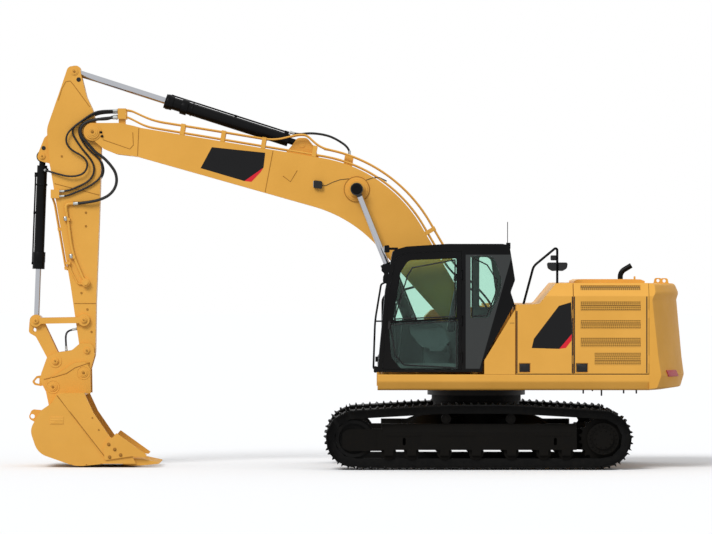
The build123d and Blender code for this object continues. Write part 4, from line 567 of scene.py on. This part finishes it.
def lens(name, colour, light, roughness, coat):
    """Fluted polycarbonate lens: smooth outside, with fine ribs of 8 mm."""
    material, tree, shader = blank(name)
    coords = add(tree, "TexCoord").outputs["Object"]
    ribs = add(tree, "TexWave", {"Vector": coords, "Scale": 40.0}, bands_direction="Y")
    coated(tree, shader, blended(tree, ribs.outputs["Fac"], linear(colour), linear(light)))
    bumped(tree, shader, ribs.outputs["Fac"], 0.5, 0.002)
    constants(shader, {"Roughness": roughness, "Coat Weight": coat})
    return material


YELLOW = "#E0A548"
YELLOW_SHADE = "#D59B3F"
BLACK = "#0A0A0B"
BLACK_SHADE = "#101011"
yellow_enamel = enamel("yellow_machine_enamel", YELLOW, YELLOW_SHADE, 0.36)
cast_enamel = enamel("yellow_enamel_on_cast_iron", YELLOW, "#D1973C", 0.5, level=0.15)
frame_yellow = enamel("yellow_frame_enamel", YELLOW, YELLOW_SHADE, 0.36,
                      regions=[(under_deck, "#060606")])
# painted shade: a darker yellow for the weld beads, outline rings, bolts, bosses and plugs, so that
# seams and edges look shaded
seam_shade_enamel = enamel("yellow_enamel_darkened_as_seam_shade", "#A8752C", "#9A6824", 0.45)
black_enamel = enamel("black_machine_enamel", BLACK, BLACK_SHADE, 0.3, 0.03, 0.1)
cab_enamel = enamel("black_cab_enamel", BLACK, BLACK_SHADE, 0.3, 0.03, 0.1,
                    [(inside_cab, "#6E7174"), (rear_quarter, "#3A3C3C")])
frame_black = enamel("black_undercarriage_enamel", "#050505", "#090909", 0.5, 0.02, 0.08)
chrome = bare_metal("hard_chrome_plate", "#B4B6BB", 0.12, 30.0)
zinc_steel = bare_metal("zinc_plated_steel", "#A9ABA8", 0.34, 90.0)
boom_rod_plate = plated_rod("chrome_plate_with_black_eye")
track_steel = forged_steel("forged_track_steel", "#050505", "#12110F")
ring_steel = forged_steel("greased_ring_steel", "#040404", "#0B0A09")
vent_plate_painted_slot_shade = perforated()
cab_glass = tinted_glass()
hose_rubber = rubber("wrapped_hose_rubber", "#0E0E0F", "#1C1C1C", 400.0, 0.15)
seal_rubber = rubber("extruded_seal_rubber", "#0B0B0C", "#151515", 150.0, 0.08)
seat_cloth = seat_fabric()
black_plastic = moulded("black_moulded_plastic", "#0B0B0C", "#121213")
grey_plastic = moulded("grey_moulded_plastic", "#4A4E52", "#5C6064")
engine_iron = enamel("painted_engine_iron", "#4B4D4E", "#3C3E40", 0.5)
black_film = vinyl("black_vinyl_film", "#060608")
red_film = vinyl("red_vinyl_film", "#D02230")
red_lens = lens("red_reflector_plastic", "#A01822", "#BE3840", 0.45, 0.0)
clear_lens = lens("clear_lamp_plastic", "#AEBAC0", "#F4F8FA", 0.12, 0.5)

FINISH_OF_NODE = {
    "track_left": track_steel, "track_right": track_steel, "idlers": track_steel,
    "rollers": frame_black, "sprockets": frame_black, "track_frame_left": frame_black,
    "track_frame_right": frame_black, "car_body": frame_black, "swing_bearing": ring_steel,
    "counterweight": cast_enamel, "upper_frame": frame_yellow,
    "engine_block": engine_iron, "tool_box": black_enamel, "exhaust_stack": black_enamel,
    "handrails": black_enamel, "mirrors": black_plastic, "cab_shell": cab_enamel,
    "cab_windows": cab_glass, "cab_door": cab_enamel, "cab_door_glass": cab_glass,
    "cab_door_handle": black_plastic, "cab_fittings": black_enamel, "seat": seat_cloth,
    "controls": grey_plastic, "boom_cylinder_barrels": black_enamel,
    "stick_cylinder_barrel": black_enamel, "bucket_cylinder_barrel": black_enamel,
    "boom_cylinder_rods": boom_rod_plate, "stick_cylinder_rod": chrome,
    "bucket_cylinder_rod": chrome, "boom_lamps": black_plastic, "boom_hoses": hose_rubber,
    "arm_hoses": hose_rubber, "boom_foot_hoses": hose_rubber, "coupler_hose": hose_rubber,
}
for node_name, node in nodes.items():
    finish = FINISH_OF_NODE.get(node_name, yellow_enamel)
    if node.material_slots:
        for place in node.material_slots:
            place.link = "OBJECT"
            place.material = finish
    else:
        node.data.materials.append(finish)


# Hoses. Each lies on one smooth line through the route that the drawing gives.

def smooth_line(name, route):
    """The route's spline as a curve with no thickness, and the points along it."""
    data = bpy.data.curves.new(name, "CURVE")
    data.dimensions = "3D"
    data.resolution_u = 8
    spline = data.splines.new("NURBS")
    spline.points.add(len(route) - 1)
    for point, (x, y, z) in zip(spline.points, route):
        point.co = (*spot(x, y, z), 1)
    spline.order_u = 3
    spline.use_endpoint_u = True
    curve = bpy.data.objects.new(name, data)
    bpy.context.scene.collection.objects.link(curve)
    bpy.context.view_layer.update()
    line = bpy.data.meshes.new_from_object(curve)
    points = [v.co.copy() for v in line.vertices]
    bpy.data.meshes.remove(line)
    return curve, points


def collar(name, place, towards, radius):
    """Crimped steel ferrule and nut at a hose's end."""
    way = (towards - place).normalized()
    nut = stepped(name + "_nut", place + way * 0.002, way, radius * 1.45, 18, sides=6)
    crimp = stepped(name, place + way * 0.018, way, radius * 1.25, 46, [(radius * 0.1, 3)], 24)
    return piece(joined(name, [crimp, nut]), "boom", zinc_steel)


def hose(name, route, radius, first, last, node=None):
    """A hose between two bodies. Where first and last differ the tube is on neither body, with its
    place put into its mesh.
    """
    curve, points = smooth_line(name + "_line", route)
    curve.data.bevel_depth = radius / 1000
    curve.data.bevel_resolution = 5
    curve.data.use_fill_caps = True
    tube = meshed(name, curve, 50)
    collars = [collar(name + "_collar_a", points[0], points[2], radius),
               collar(name + "_collar_b", points[-1], points[-3], radius)]
    for part, body in zip(collars, (first, last)):
        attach(part, body)
    if first == last:
        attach(tube, first)
    else:
        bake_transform(tube)
    tube.data.materials.append(hose_rubber)
    if node:
        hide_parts(node)


# Hose routes of the drawing, as (x, y, z)

def flat_route(points, y):
    """A route in one upright plane, from its points (x, z)."""
    return [(x, y, z) for x, z in points]


NOSE_FRONT = -4800.3
UPPER_ROUTE = [(NOSE_FRONT, 4763), (-4860, 4763), (-5042, 4757), (-5144, 4721), (-5247, 4650),
               (-5409, 4529), (-5481, 4446), (-5495, 4356), (-5470, 4284), (-5389, 4212),
               (-5287, 4162), (-5216, 4091), (-5205, 4009), (-5247, 3928), (-5328, 3888)]
MIDDLE_ROUTE = [(NOSE_FRONT, 4745), (-4860, 4745), (-5042, 4735), (-5150, 4700), (-5260, 4630),
                (-5370, 4570), (-5412, 4500), (-5398, 4426), (-5336, 4328), (-5267, 4233),
                (-5195, 4152), (-5144, 4080), (-5114, 3989), (-5133, 3888), (-5205, 3805),
                (-5328, 3745), (-5480, 3682), (-5584.5, 3682)]
LOWER_ROUTE = [(NOSE_FRONT, 4690), (-4860, 4690), (-4951, 4650), (-5103, 4650), (-5206, 4625),
               (-5290, 4575), (-5328, 4498), (-5306, 4406), (-5247, 4304), (-5155, 4203),
               (-5063, 4131), (-5022, 4060), (-5002, 3958), (-5033, 3866), (-5124, 3785),
               (-5247, 3715), (-5379, 3663), (-5490, 3616), (-5584.5, 3616)]
THICK_ROUTE = [(NOSE_FRONT, 4668), (-4860, 4668), (-5040, 4650), (-5206, 4619), (-5300, 4549),
               (-5300, 4426), (-5206, 4328), (-5103, 4203), (-5002, 4142), (-4900, 4039),
               (-4819, 3918), (-4813, 3765), (-4900, 3632), (-5053, 3561), (-5200, 3535)]

hose("bucket_cylinder_hose",
     flat_route(UPPER_ROUTE, -205) + [(-5460, -205, 3877), (-5613, -187, 3915),
                                      (-5745, -176, 3955), (-5780, -130, 3968),
                                      (-5780, -91.3, 3968)],
     13, "boom", "stick", "arm_hoses")
for side, word in ((-1, "left"), (1, "right")):
    hose(f"{word}_stick_hose_upper", flat_route(MIDDLE_ROUTE, side * 174), 13, "boom", "stick")
    hose(f"{word}_stick_hose_lower", flat_route(LOWER_ROUTE, side * 174), 13, "boom", "stick")
hose("auxiliary_hose",
     flat_route(THICK_ROUTE, -212) + [(-5330, -174, 3520.2), (-5399.7, -174, 3516)],
     20, "boom", "stick")

SHORT_ROUTE = [(-1701.1, 4162.5), (-1685.6, 4255.9), (-1900, 4400), (-2060, 4450),
               (-2250, 4466), (-2397.6, 4442.9), (-2502.4, 4476.5)]
hose("left_cylinder_hose", flat_route(SHORT_ROUTE, -35), 15, "boom", "boom", node="boom_hoses")
hose("right_cylinder_hose", flat_route(SHORT_ROUTE, 35), 15, "boom", "boom")

FOOT_ROUTES = {
    "low": [(-413, 2716), (-352.8, 2612.5), (144, 2190), (214, 1850), (167.5, 1660),
            (167.5, 1560.3)],
    "high": [(-328.3, 2765.3), (-268.1, 2661.9), (222.4, 2190), (292.4, 1850), (172.4, 1660),
             (172.4, 1560.3)],
}
PIPE_Y = (175, 201)
for layer, route in FOOT_ROUTES.items():
    for row, y in enumerate(PIPE_Y):
        for side, word in ((-1, "left"), (1, "right")):
            steps = [y, y, y - 10, y - 20, y - 20, y - 20]
            points = [(x, side * out, z) for (x, z), out in zip(route, steps)]
            hose(f"foot_hose_{layer}_{row}_{word}", points, 11, "boom", "house",
                 "boom_foot_hoses" if (layer, row, side) == ("low", 0, -1) else None)

hose("coupler_line", [(-5351.1, -120, 1840), (-5440, -120, 1827), (-5501, -160, 1780),
                      (-5496, -176, 1640), (-5490, -176, 1544)],
     13, "stick", "bucket", "coupler_hose")


# Decals and reflectors

DOOR_BLACK = [(688, 1591, 12), (688, 1737, 40), (1025, 2216, 60), (1228, 2216, 12),
              (1228, 1790), (1060, 1591)]
DOOR_RED = [(1228, 1790), (1228, 1697, 8), (1153, 1591, 12), (1060, 1591)]
BOOM_BLACK = [(-3728, 3975, 25), (-3555, 4297, 25), (-2797, 4217, 25), (-2850, 3998),
              (-3107, 3818)]
BOOM_RED = [(-2850, 3998), (-2874, 3925, 20), (-3007, 3785, 20), (-3107, 3818)]
FILM = 0.8                  # thickness of a film

piece(side_plate("door_black_panel", DOOR_BLACK, -HOUSE_HALF, FILM), "left_front_door",
      black_film)
piece(side_plate("door_red_corner", DOOR_RED, -HOUSE_HALF, FILM), "left_front_door", red_film)


def boom_panel(side, word):
    piece(side_plate(f"{word}_boom_black_panel", BOOM_BLACK, side * BOOM_HALF, FILM), "boom",
          black_film)
    piece(side_plate(f"{word}_boom_red_corner", BOOM_RED, side * BOOM_HALF, FILM), "boom", red_film)


both_sides(boom_panel)


def reflector(side, word):
    """Red reflector on the tail weight's round flank, low at the back."""
    outline = [(2470, 1307), (2560, 1307), (2610, 1307), (2653, 1222), (2590, 1222), (2500, 1222)]
    places = [on_node("counterweight", spot(x, side * FAR_OFF, z), (0, -side, 0))
              for x, z in outline]
    out = sum((normal for _, normal in places), Vector())
    piece(panel(f"{word}_reflector", [place for place, _ in places], out, 18, 1.5), "house",
          red_lens)


both_sides(reflector)


# Doors of the house: vents, black strips on the gaps as painted shade, sill seal and latches

VENTS = [(2091, 2213, 1343), (1854, 1967, 1343), (1615, 1736, 1343), (1379, 1539, 1527)]
HOUSE_REAR = math.sqrt(2781 ** 2 - 1400 ** 2) - 159
VENT_REAR = HOUSE_REAR - 111
BEVEL_HEIGHT = 2288
BEVEL_DEPTH = 110
BEVEL_RISE = 169


def vent(side, word):
    """Punched plates in the rear door's vents, flush with the rim less 5 mm."""
    body = f"{word}_rear_door"
    for i, (low, high, front) in enumerate(VENTS):
        outline = [(front + 1, low + 1), (front + 1, high - 1), (VENT_REAR - 1, high - 1),
                   (VENT_REAR - 1, low + 1)]
        piece(side_plate(f"{word}_vent_{i}", outline, side * (HOUSE_HALF - 8), 3), body,
              vent_plate_painted_slot_shade)
    lean = Vector((-BEVEL_DEPTH, BEVEL_RISE)).normalized()
    corners = [spot(x, side * (HOUSE_HALF + lean.x * up - lean.y * 10),
                    BEVEL_HEIGHT + lean.y * up + lean.x * 10)
               for x, up in ((1345, 91), (VENT_REAR - 5, 91), (VENT_REAR - 5, 164), (1345, 164))]
    piece(panel(f"{word}_top_vent", corners, (0, side * lean.y, -lean.x), 3), body, vent_plate_painted_slot_shade)


both_sides(vent)


def door_edges(side, word):
    """Black rubber strips along the upright edges of the doors, painted shade for the dark gaps
    between the panels, and the seal on the sill.
    """
    rear_box = [corner.x * 1000 - SWING_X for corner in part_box(f"{word}_rear_door")]
    runs = [(f"{word}_rear_door", 1253, 2280), (f"{word}_rear_door", rear_box[1] - 38, 2280)]
    if side < 0:
        runs += [("left_front_door", 497, 2090), ("left_front_door", 1225, 2280)]
    # painted shade: each black strip lies on the face where the gap between two panels shows dark
    for i, (body, x, top) in enumerate(runs):
        outline = [(x, 1272), (x, top), (x + 14, top), (x + 14, 1272)]
        piece(side_plate(f"{word}_door_gap_shade_strip_{i}", outline, side * HOUSE_HALF, 1.5), body,
              seal_rubber)
    line = [spot(x, side * (HOUSE_HALF - 6), 1256.5) for x in (90, rear_box[1] - 20)]
    piece(bead(f"{word}_sill_seal", line, 3), "house", seal_rubber)


both_sides(door_edges)


def latch(name, x_from, x_to, side, body):
    """Paddle latch in its pocket: a plate, a sprung paddle and a lock barrel."""
    y = side * (HOUSE_HALF - 13.6)
    plate = side_plate(name, [(x_from + 2, 1279, 10), (x_from + 2, 1404, 10),
                              (x_to - 2, 1404, 10), (x_to - 2, 1279, 10)], y, 8, 1.5)
    paddle = side_plate(name + "_paddle", [(x_from + 50, 1300, 8), (x_from + 50, 1384, 8),
                                           (x_to - 16, 1384, 8), (x_to - 16, 1300, 8)],
                        side * (HOUSE_HALF - 6), 7, 2)
    barrel = stepped(name + "_lock", spot(x_from + 28, side * (HOUSE_HALF - 6), 1341),
                     (0, side, 0), 13, 4, [(4, 2)], 24)
    piece(joined(name, [plate, paddle, barrel]), body, black_plastic)


latch("left_front_latch", 528, 685, -1, "left_front_door")
latch("left_rear_latch", 1277, 1442, -1, "left_rear_door")
latch("right_rear_latch", 1277, 1442, 1, "right_rear_door")
SLOT = [(405, 1924, 6), (405, 1938, 6), (474, 1938, 6), (474, 1924, 6)]
piece(side_plate("side_panel_slot", SLOT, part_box("side_panel")[0].y * 1000, 3), "house",
      black_plastic)


# Pins, bosses and their bolts on the arm

PINS = {
    # middle (x, z), y of the face it sits on, body, radius of the head
    "boom_nose": ((-5140, 4477), 243, "boom", 70),
    "idler": ((-5255, 1958), 216, "stick", 36),
    "linkage": ((-5899, 1947), 214, "power_link", 36),
    "stick_foot": ((-5214, 1548), 208, "bucket", 38),
    "coupler": ((-5637, 1408), 218, "bucket", 40),
    "bucket_front": ((-5257, 1253), 250, "bucket", 60),
    "bucket_rear": ((-5666, 1065), 250, "bucket", 60),
    "bucket_cylinder_foot": ((-5818, 4150), 103, "stick", 38),
    "stick_top": ((-5385, 5285), STICK_HALF, "stick", 52),
}


def pin_heads(name, pin, y, body, radius):
    """Washer and stepped head on both ends of a pin, with the bolt that keeps it."""
    def one(side, word):
        place = spot(pin[0], side * y, pin[1])
        head = stepped(f"{word}_{name}_pin", place, (0, side, 0), radius, 8,
                       [(radius * 0.3, 7), (radius * 0.2, -3)])
        piece(head, body, yellow_enamel)
        piece(bolt(f"{word}_{name}_bolt", place + Vector((0, side * 0.012, 0)), (0, side, 0),
                   radius * 0.22), body, seam_shade_enamel)
    both_sides(one)


for name, (pin, y, body, radius) in PINS.items():
    pin_heads(name, pin, y, body, radius)


def ear_rings(side, word):
    """Raised bosses round the bucket's two pins."""
    for name in ("bucket_front", "bucket_rear"):
        pin, y, body, _ = PINS[name]
        circle = circle_places(spot(pin[0], side * y, pin[1]), 86, 40)
        piece(bead(f"{word}_{name}_ring", circle, 5, True), body, yellow_enamel)


both_sides(ear_rings)


PLUGS = [("top", (-5327, STICK_HALF, 5178), 30), ("ear", (-5799, 96, 4262), 28)]


def black_stops(side, word):
    """Black rubber plugs near the stick's pins, as the photograph shows them."""
    for name, (x, y, z), radius in PLUGS:
        plug = stepped(f"{word}_{name}_plug", spot(x, side * y, z), (0, side, 0), radius, 4,
                       [(6, 5)])
        piece(plug, "stick", black_plastic)


both_sides(black_stops)


def boom_eye(side, word):
    """Rings round the boom cylinder's upper pin, and the black cap on its end. The outer ring is a
    dark outline in the darker yellow, painted shade round the eye's boss.
    """
    x, z = BOOM_EYE
    middle = spot(x, side * (BOOM_HALF + 12), z)
    circle = circle_places(middle, 168, 64)
    piece(bead(f"{word}_boom_eye_ring", circle, 5, True), "boom", seam_shade_enamel)
    cap = stepped(f"{word}_boom_eye_cap", spot(x, side * 400, z), (0, side, 0), 72, 10,
                  [(8, 4), (30, -4)], 48)
    piece(cap, "boom_rods", black_enamel)
    flange = stepped(f"{word}_boom_eye_flange", spot(x, side * (BOOM_HALF + 11.5), z),
                     (0, side, 0), 148, 8, [(4, 3)], 56)
    piece(flange, "boom", yellow_enamel)


both_sides(boom_eye)


# Welds, covers and wires on boom and stick

BOOM_WELDS = {
    "boom_mid": [(-2724, 4222), (-2830, 3668)],
    "boom_nose": [(-4519, 4526), (-4536, 4158)],
    "nose_panel": [(-5000, 4372), (-4640, 4248), (-4592, 4300), (-4600, 4470)],
    "boom_mark": [(-2590, 3885), (-2490, 3810), (-2400, 3960)],
}
STICK_WELDS = {
    "stick_slant": [(-5650, 3785), (-5051, 3632)],
    "stick_low": [(-5384, 2180), (-5096, 2180)],
    "stick_top": [(-5600, 4900), (-5550, 5060), (-5500, 5150), (-5440, 5160), (-5390, 5100),
                  (-5180, 4815)],
}


def welds(side, word):
    """Butt welds across the boom and stick, and the outlines of their side plates, in a darker
    yellow that is painted shade along the seams and edges.
    """
    for body, y, runs in (("boom", BOOM_HALF, BOOM_WELDS), ("stick", STICK_HALF, STICK_WELDS)):
        for name, route in runs.items():
            piece(bead(f"{word}_{name}_weld", [spot(x, side * y, z) for x, z in route], 5), body,
                  seam_shade_enamel)


both_sides(welds)


def keeper(side, word):
    """Keeper plate beside the boom's nose pin, with its two bolts."""
    y = side * BOOM_HALF
    outline = [(-5080, 4500, 30), (-4985, 4500, 30), (-4970, 4385, 30), (-5075, 4395, 30)]
    piece(side_plate(f"{word}_pin_keeper", outline, y, 9, 2), "boom", yellow_enamel)
    places = [spot(-5025, y + side * 8, 4470), spot(-5010, y + side * 8, 4418)]
    piece(bolts(f"{word}_keeper_bolts", places, (0, side, 0), 13), "boom", black_enamel)


both_sides(keeper)


def lamp_wire(side, word):
    """Thin wire from the boom's lamp over the eye to the pipes."""
    y = side * (BOOM_HALF + 2)
    front = [(-2070, 3755), (-2010, 3760), (-1930, 3800), (-1830, 3835), (-1700, 3850)]
    back = [(-1480, 3830), (-1390, 3862), (-1300, 3868), (-1200, 3820)]
    for name, route in (("front", front), ("back", back)):
        piece(bead(f"{word}_lamp_wire_{name}", [spot(x, y, z) for x, z in route], 4), "boom",
              hose_rubber)


both_sides(lamp_wire)


def stick_bosses(side, word):
    """Small threaded bosses on the stick's sides."""
    places = [(-5553, 4150), (-5337, 4190), (-5230, 3395), (-5230, 3215), (-5210, 2100),
              (-5155, 1800), (-5290, 2320)]
    found = [stepped(f"{word}_stick_boss_{i}", spot(x, side * STICK_HALF, z), (0, side, 0), 15,
                     6, [(5, -2)], 20) for i, (x, z) in enumerate(places)]
    piece(joined(f"{word}_stick_bosses", found), "stick", seam_shade_enamel)


both_sides(stick_bosses)


def laid(names, side, route):
    """Points every 40 mm along a route (x, z), laid on the outermost of the named nodes."""
    corners = [spot(x, side * FAR_OFF, z) for x, z in route]
    points = []
    for start, end in zip(corners, corners[1:]):
        count = max(1, round((end - start).length / 0.04))
        points += [start.lerp(end, i / count) for i in range(count)]
    found = []
    for point in points + corners[-1:]:
        hits = [nodes[name].ray_cast(point, Vector((0, -side, 0))) for name in names]
        depths = [place.y for hit, place, _, _ in hits if hit]
        if depths:
            found.append(Vector((point.x, side * max(side * y for y in depths), point.z)))
    return found


def arm_seams(side, word):
    """Welds and joints that follow the coupler's and the bucket's side plates, as dark beads:
    painted shade for the gap under the coupler and at the joint of the wear strip.
    """
    runs = {
        "coupler_foot": [(-5790, 1165), (-5639, 1200), (-5484, 1245), (-5373, 1320), (-5180, 1387)],
        "bucket_strip": [(-5594, 960), (-5340, 640), (-4945, 130)],
    }
    for name, route in runs.items():
        piece(bead(f"{word}_{name}_seam", laid(["coupler", "bucket"], side, route), 6), "bucket",
              seam_shade_enamel)


both_sides(arm_seams)


# Collars on the cylinders' heads

CYLINDERS = {
    # foot pin, rod's pin, body, bore, and each collar: distances from the foot, and radius
    "stick": ((-2337, 4308), (-5385, 5285), "stick_barrel", 82,
              [(1864, 1904, 103), (1611, 1700, 104), (1540, 1560, 92)]),
    "bucket": ((-5818, 4150), (-5899, 1947), "bucket_barrel", 66,
               [(1280, 1420, 86), (365, 390, 78)]),
}


def collars(name, foot, pin, body, bore, rings):
    """Turned collars round a barrel."""
    start = spot(foot[0], 0, foot[1])
    way = (spot(pin[0], 0, pin[1]) - start).normalized()
    found = []
    for i, (near, far, radius) in enumerate(rings):
        found.append(ring(f"{name}_collar_{i}", start + way * near / 1000, way, radius,
                          far - near, bore))
    piece(joined(f"{name}_head_collars", found), body, black_enamel)


for name, (foot, pin, body, bore, rings) in CYLINDERS.items():
    collars(f"{name}_cylinder", foot, pin, body, bore, rings)


# Steel nuts on the stick's pipes

def pipe_nut(name, x, z, lean, radius=27, length=54):
    """Zinc-plated nut round the pipe nearest to a point on the stick's left side."""
    along = Vector((lean[0], 0, lean[1])).normalized()
    for step in range(30):
        shift = (step + 1) // 2 * (5 if step % 2 else -5)
        hit, place, _, _ = nodes["stick_piping"].ray_cast(spot(x + shift, -FAR_OFF, z),
                                                         Vector((0, 1, 0)))
        if hit:
            break
    middle = place + Vector((0, 0.014, 0)) - along * length / 2000
    nut = stepped(name, middle, along, radius, length, [(5, 3)], 6, 2)
    piece(nut, "stick", zinc_steel)


pipe_nut("stick_pipe_nut_upper", -5501, 3316, (75, -502))
pipe_nut("stick_pipe_nut_lower", -5426, 2814, (75, -502))


# Bucket

def bucket_sides(side, word):
    """Blank pad with three ribs, the cutter's bolts and the wear strip's plugs."""
    y = side * BUCKET_HALF
    pad = side_plate(f"{word}_bucket_pad", [(-5691, 567, 8), (-5691, 686, 8), (-5500, 686, 8),
                                            (-5500, 567, 8)], y, 5, 1.5)
    ribs = [bead(f"{word}_pad_rib_{z}", [spot(x, y + side * 5, z) for x in (-5680, -5511)], 3)
            for z in (590, 626, 662)]
    piece(joined(f"{word}_bucket_pad", [pad] + ribs), "bucket", yellow_enamel)
    cutter = [(-4902, 309), (-4822, 242), (-4744, 168), (-4890, 140)]
    piece(bolts(f"{word}_cutter_bolts", [spot(x, y + side * 32, z) for x, z in cutter],
                (0, side, 0), 17), "bucket", seam_shade_enamel)
    holes = [(-5035, 500), (-5120, 660)]
    plugs = [stepped(f"{word}_strip_plug_{i}", spot(x, y + side * 10, z), (0, side, 0), 12, 4,
                     [(4, -2)], 20) for i, (x, z) in enumerate(holes)]
    piece(joined(f"{word}_strip_plugs", plugs), "bucket", seam_shade_enamel)


both_sides(bucket_sides)


# Undercarriage

def drive_bolts(side, word):
    """Bolts round the final drive's cover and the hub's flange."""
    middle = spot(DRIVE_AXLE[0], side * FAR_OFF, DRIVE_AXLE[1])
    for name, reach, count, size in (("cover", 112, 10, 9), ("flange", 176, 20, 10)):
        places = [on_node("sprockets", point, (0, -side, 0))[0]
                  for point in circle_places(middle, reach, count)]
        piece(bolts(f"{word}_drive_{name}_bolts", places, (0, side, 0), size), "chassis",
              frame_black)


both_sides(drive_bolts)


def drains(side, word):
    """Black drain plugs under the house's deck."""
    found = []
    for i, (x, bottom) in enumerate(((1379, 1004), (1619, 975), (1911, 1006), (2078, 1004))):
        place, _ = on_node("upper_frame", spot(x, side * 1330, 600), (0, 0, 1))
        depth = place.z * 1000 - bottom
        found.append(stepped(f"{word}_drain_{i}", place, (0, 0, -1), 11, depth, [(3, 4)], 16))
    piece(joined(f"{word}_drains", found), "house", black_plastic)


both_sides(drains)


# Lamps, and seals of the cab's panes

def lamps():
    """Ribbed lenses of the lamps on the cab and the boom."""
    for name, y in (("left", -1280), ("right", -590)):
        corners = [spot(-1240, y + a, z)
                   for a, z in ((-46, 2872), (46, 2872), (46, 2942), (-46, 2942))]
        piece(panel(f"cab_lamp_lens_{name}", corners, (-1, 0, 0), 5, 1.5), "house", clear_lens)
    for side, word in ((-1, "left"), (1, "right")):
        corners = [spot(-2180.5, side * (BOOM_HALF + a), z)
                   for a, z in ((7, 3738), (45, 3738), (45, 3818), (7, 3818))]
        piece(panel(f"boom_lamp_lens_{word}", corners, (-1, 0, 0), 5, 1.5), "boom", clear_lens)


lamps()

UPPER_GLASS = [(-1128, 1963, 20), (-1027, 2597, 100), (-926, 2756, 100), (-291, 2782, 20),
               (-291, 1999, 20)]
LOWER_GLASS = [(-1185, 1927, 20), (-270, 1978, 20), (-270, 1322, 20), (-1012, 1322, 60),
               (-1150, 1480, 60)]
QUARTER_GLASS = [(-104, 2000, 20), (-104, 2814, 20), (200, 2814, 120), (300, 2500, 60),
                 (280, 2300, 60), (130, 2000, 30)]
SEALS = {"upper": (UPPER_GLASS, -1389, "cab_door"), "lower": (LOWER_GLASS, -1389, "cab_door"),
         "quarter": (QUARTER_GLASS, -1391, "house")}
for name, (outline, y, body) in SEALS.items():
    line = [spot(x, y, z) for x, z in rounded(outline)]
    piece(bead(f"{name}_pane_seal", line, 9, True), body, seal_rubber)


# Seat cushions, blown up from a slack shape as foam under its cover

SEAT_MIDDLE = -935
SLACK = 14                  # a cushion's side starts this far inside its full size
GRID = 0.006                # spacing of a cushion's mesh, in metres


def foam(name, outline, half, cap):
    """A padded block with the side outline, swollen by a cloth simulation by cap at most."""
    corners = [spot(x, SEAT_MIDDLE - half + SLACK, z) for x, z in rounded(outline)]
    obj = panel(name, corners, (0, 1, 0), 2 * (half - SLACK), 12)
    alone(obj)
    remesh = obj.modifiers.new("even", "REMESH")
    remesh.mode = "VOXEL"
    remesh.voxel_size = GRID
    bpy.ops.object.modifier_apply(modifier=remesh.name)
    before = [v.co.copy() for v in obj.data.vertices]
    cloth = obj.modifiers.new("cloth", "CLOTH")
    cloth.settings.use_pressure = True
    cloth.settings.uniform_pressure_force = 4
    cloth.settings.effector_weights.gravity = 0
    for step in range(1, 21):
        bpy.context.scene.frame_set(step)
    bpy.ops.object.modifier_apply(modifier=cloth.name)
    bpy.context.scene.frame_set(1)
    for vert, was in zip(obj.data.vertices, before):
        move = vert.co - was
        if move.length > cap:
            vert.co = was + move.normalized() * cap
    smooth = obj.modifiers.new("fine", "SUBSURF")
    smooth.levels = 1
    smooth.render_levels = 1
    bpy.ops.object.modifier_apply(modifier=smooth.name)
    bpy.ops.object.shade_smooth()
    piece(obj, "house", seat_cloth)
    return obj


CUSHION = [(-850, 1758, 20), (-838, 1838, 30), (-432, 1818, 30), (-412, 1738, 20)]
BACKREST = [(-430, 1800, 20), (-322, 2408, 30), (-250, 2408, 30), (-306, 1780, 20)]
HEADREST = [(-336, 2458, 20), (-318, 2600, 20), (-262, 2600, 20), (-272, 2458, 20)]
cushion = foam("seat_cushion", CUSHION, 250, 0.014)
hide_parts("seat")
foam("seat_backrest", BACKREST, 240, 0.012)
foam("seat_headrest", HEADREST, 120, 0.010)
base = side_plate("seat_base", [(-700, 1641, 15), (-716, 1756, 15), (-404, 1736, 15),
                                (-400, 1641, 15)], SEAT_MIDDLE - 150, -300, 4)
piece(base, "house", black_plastic)
posts = [bead(f"headrest_post_{i}", [spot(-285, SEAT_MIDDLE + y, 2380),
                                     spot(-292, SEAT_MIDDLE + y, 2470)], 7, sides=4)
         for i, y in enumerate((-50, 50))]
piece(joined("headrest_posts", posts), "house", chrome)


# Floor, backdrop and light

def showing(tree):
    """1 for rays that show the background: straight, mirrored or through glass."""
    path = add(tree, "LightPath")
    seen = combined(tree, "MAXIMUM", path.outputs["Is Camera Ray"], path.outputs["Is Glossy Ray"])
    return combined(tree, "MAXIMUM", seen, path.outputs["Is Transmission Ray"])


clear_selection()
bpy.ops.mesh.primitive_plane_add(size=600, location=(0, 0, 0))
floor = bpy.context.active_object
floor.name = "studio_floor"
floor_material, floor_tree, floor_shader = blank("pale_studio_floor")
seen_floor = blended(floor_tree, showing(floor_tree), linear("#BDBDBB"), linear("#F6F6F6"))
floor_tree.links.new(seen_floor, floor_shader.inputs["Base Color"])
constants(floor_shader, {"Roughness": 0.9, "Specular IOR Level": 0.0})
floor.data.materials.append(floor_material)

DOME = 0.72                 # level of the sky that lights the machine
SUN = 2.0
world = bpy.data.worlds.new("studio_world")
bpy.context.scene.world = world
world.use_nodes = True
sky = world.node_tree
sky.nodes.clear()
dome = add(sky, "Background", {"Color": linear("#F6F8FB"), "Strength": DOME})
white = add(sky, "Background", {"Color": (1, 1, 1, 1), "Strength": 1.0})
both_skies = add(sky, "MixShader", {"Fac": showing(sky)})
sky.links.new(dome.outputs["Background"], both_skies.inputs[1])
sky.links.new(white.outputs["Background"], both_skies.inputs[2])
add(sky, "OutputWorld", {"Surface": both_skies.outputs["Shader"]})

sun_data = bpy.data.lights.new("soft_key", "SUN")
sun_data.energy = SUN
sun_data.angle = math.radians(24)
sun = bpy.data.objects.new("soft_key", sun_data)
sun.rotation_euler = Vector((0.38, 0.66, -0.65)).to_track_quat("-Z", "Y").to_euler()
bpy.context.scene.collection.objects.link(sun)

bpy.context.scene.view_settings.view_transform = "Standard"
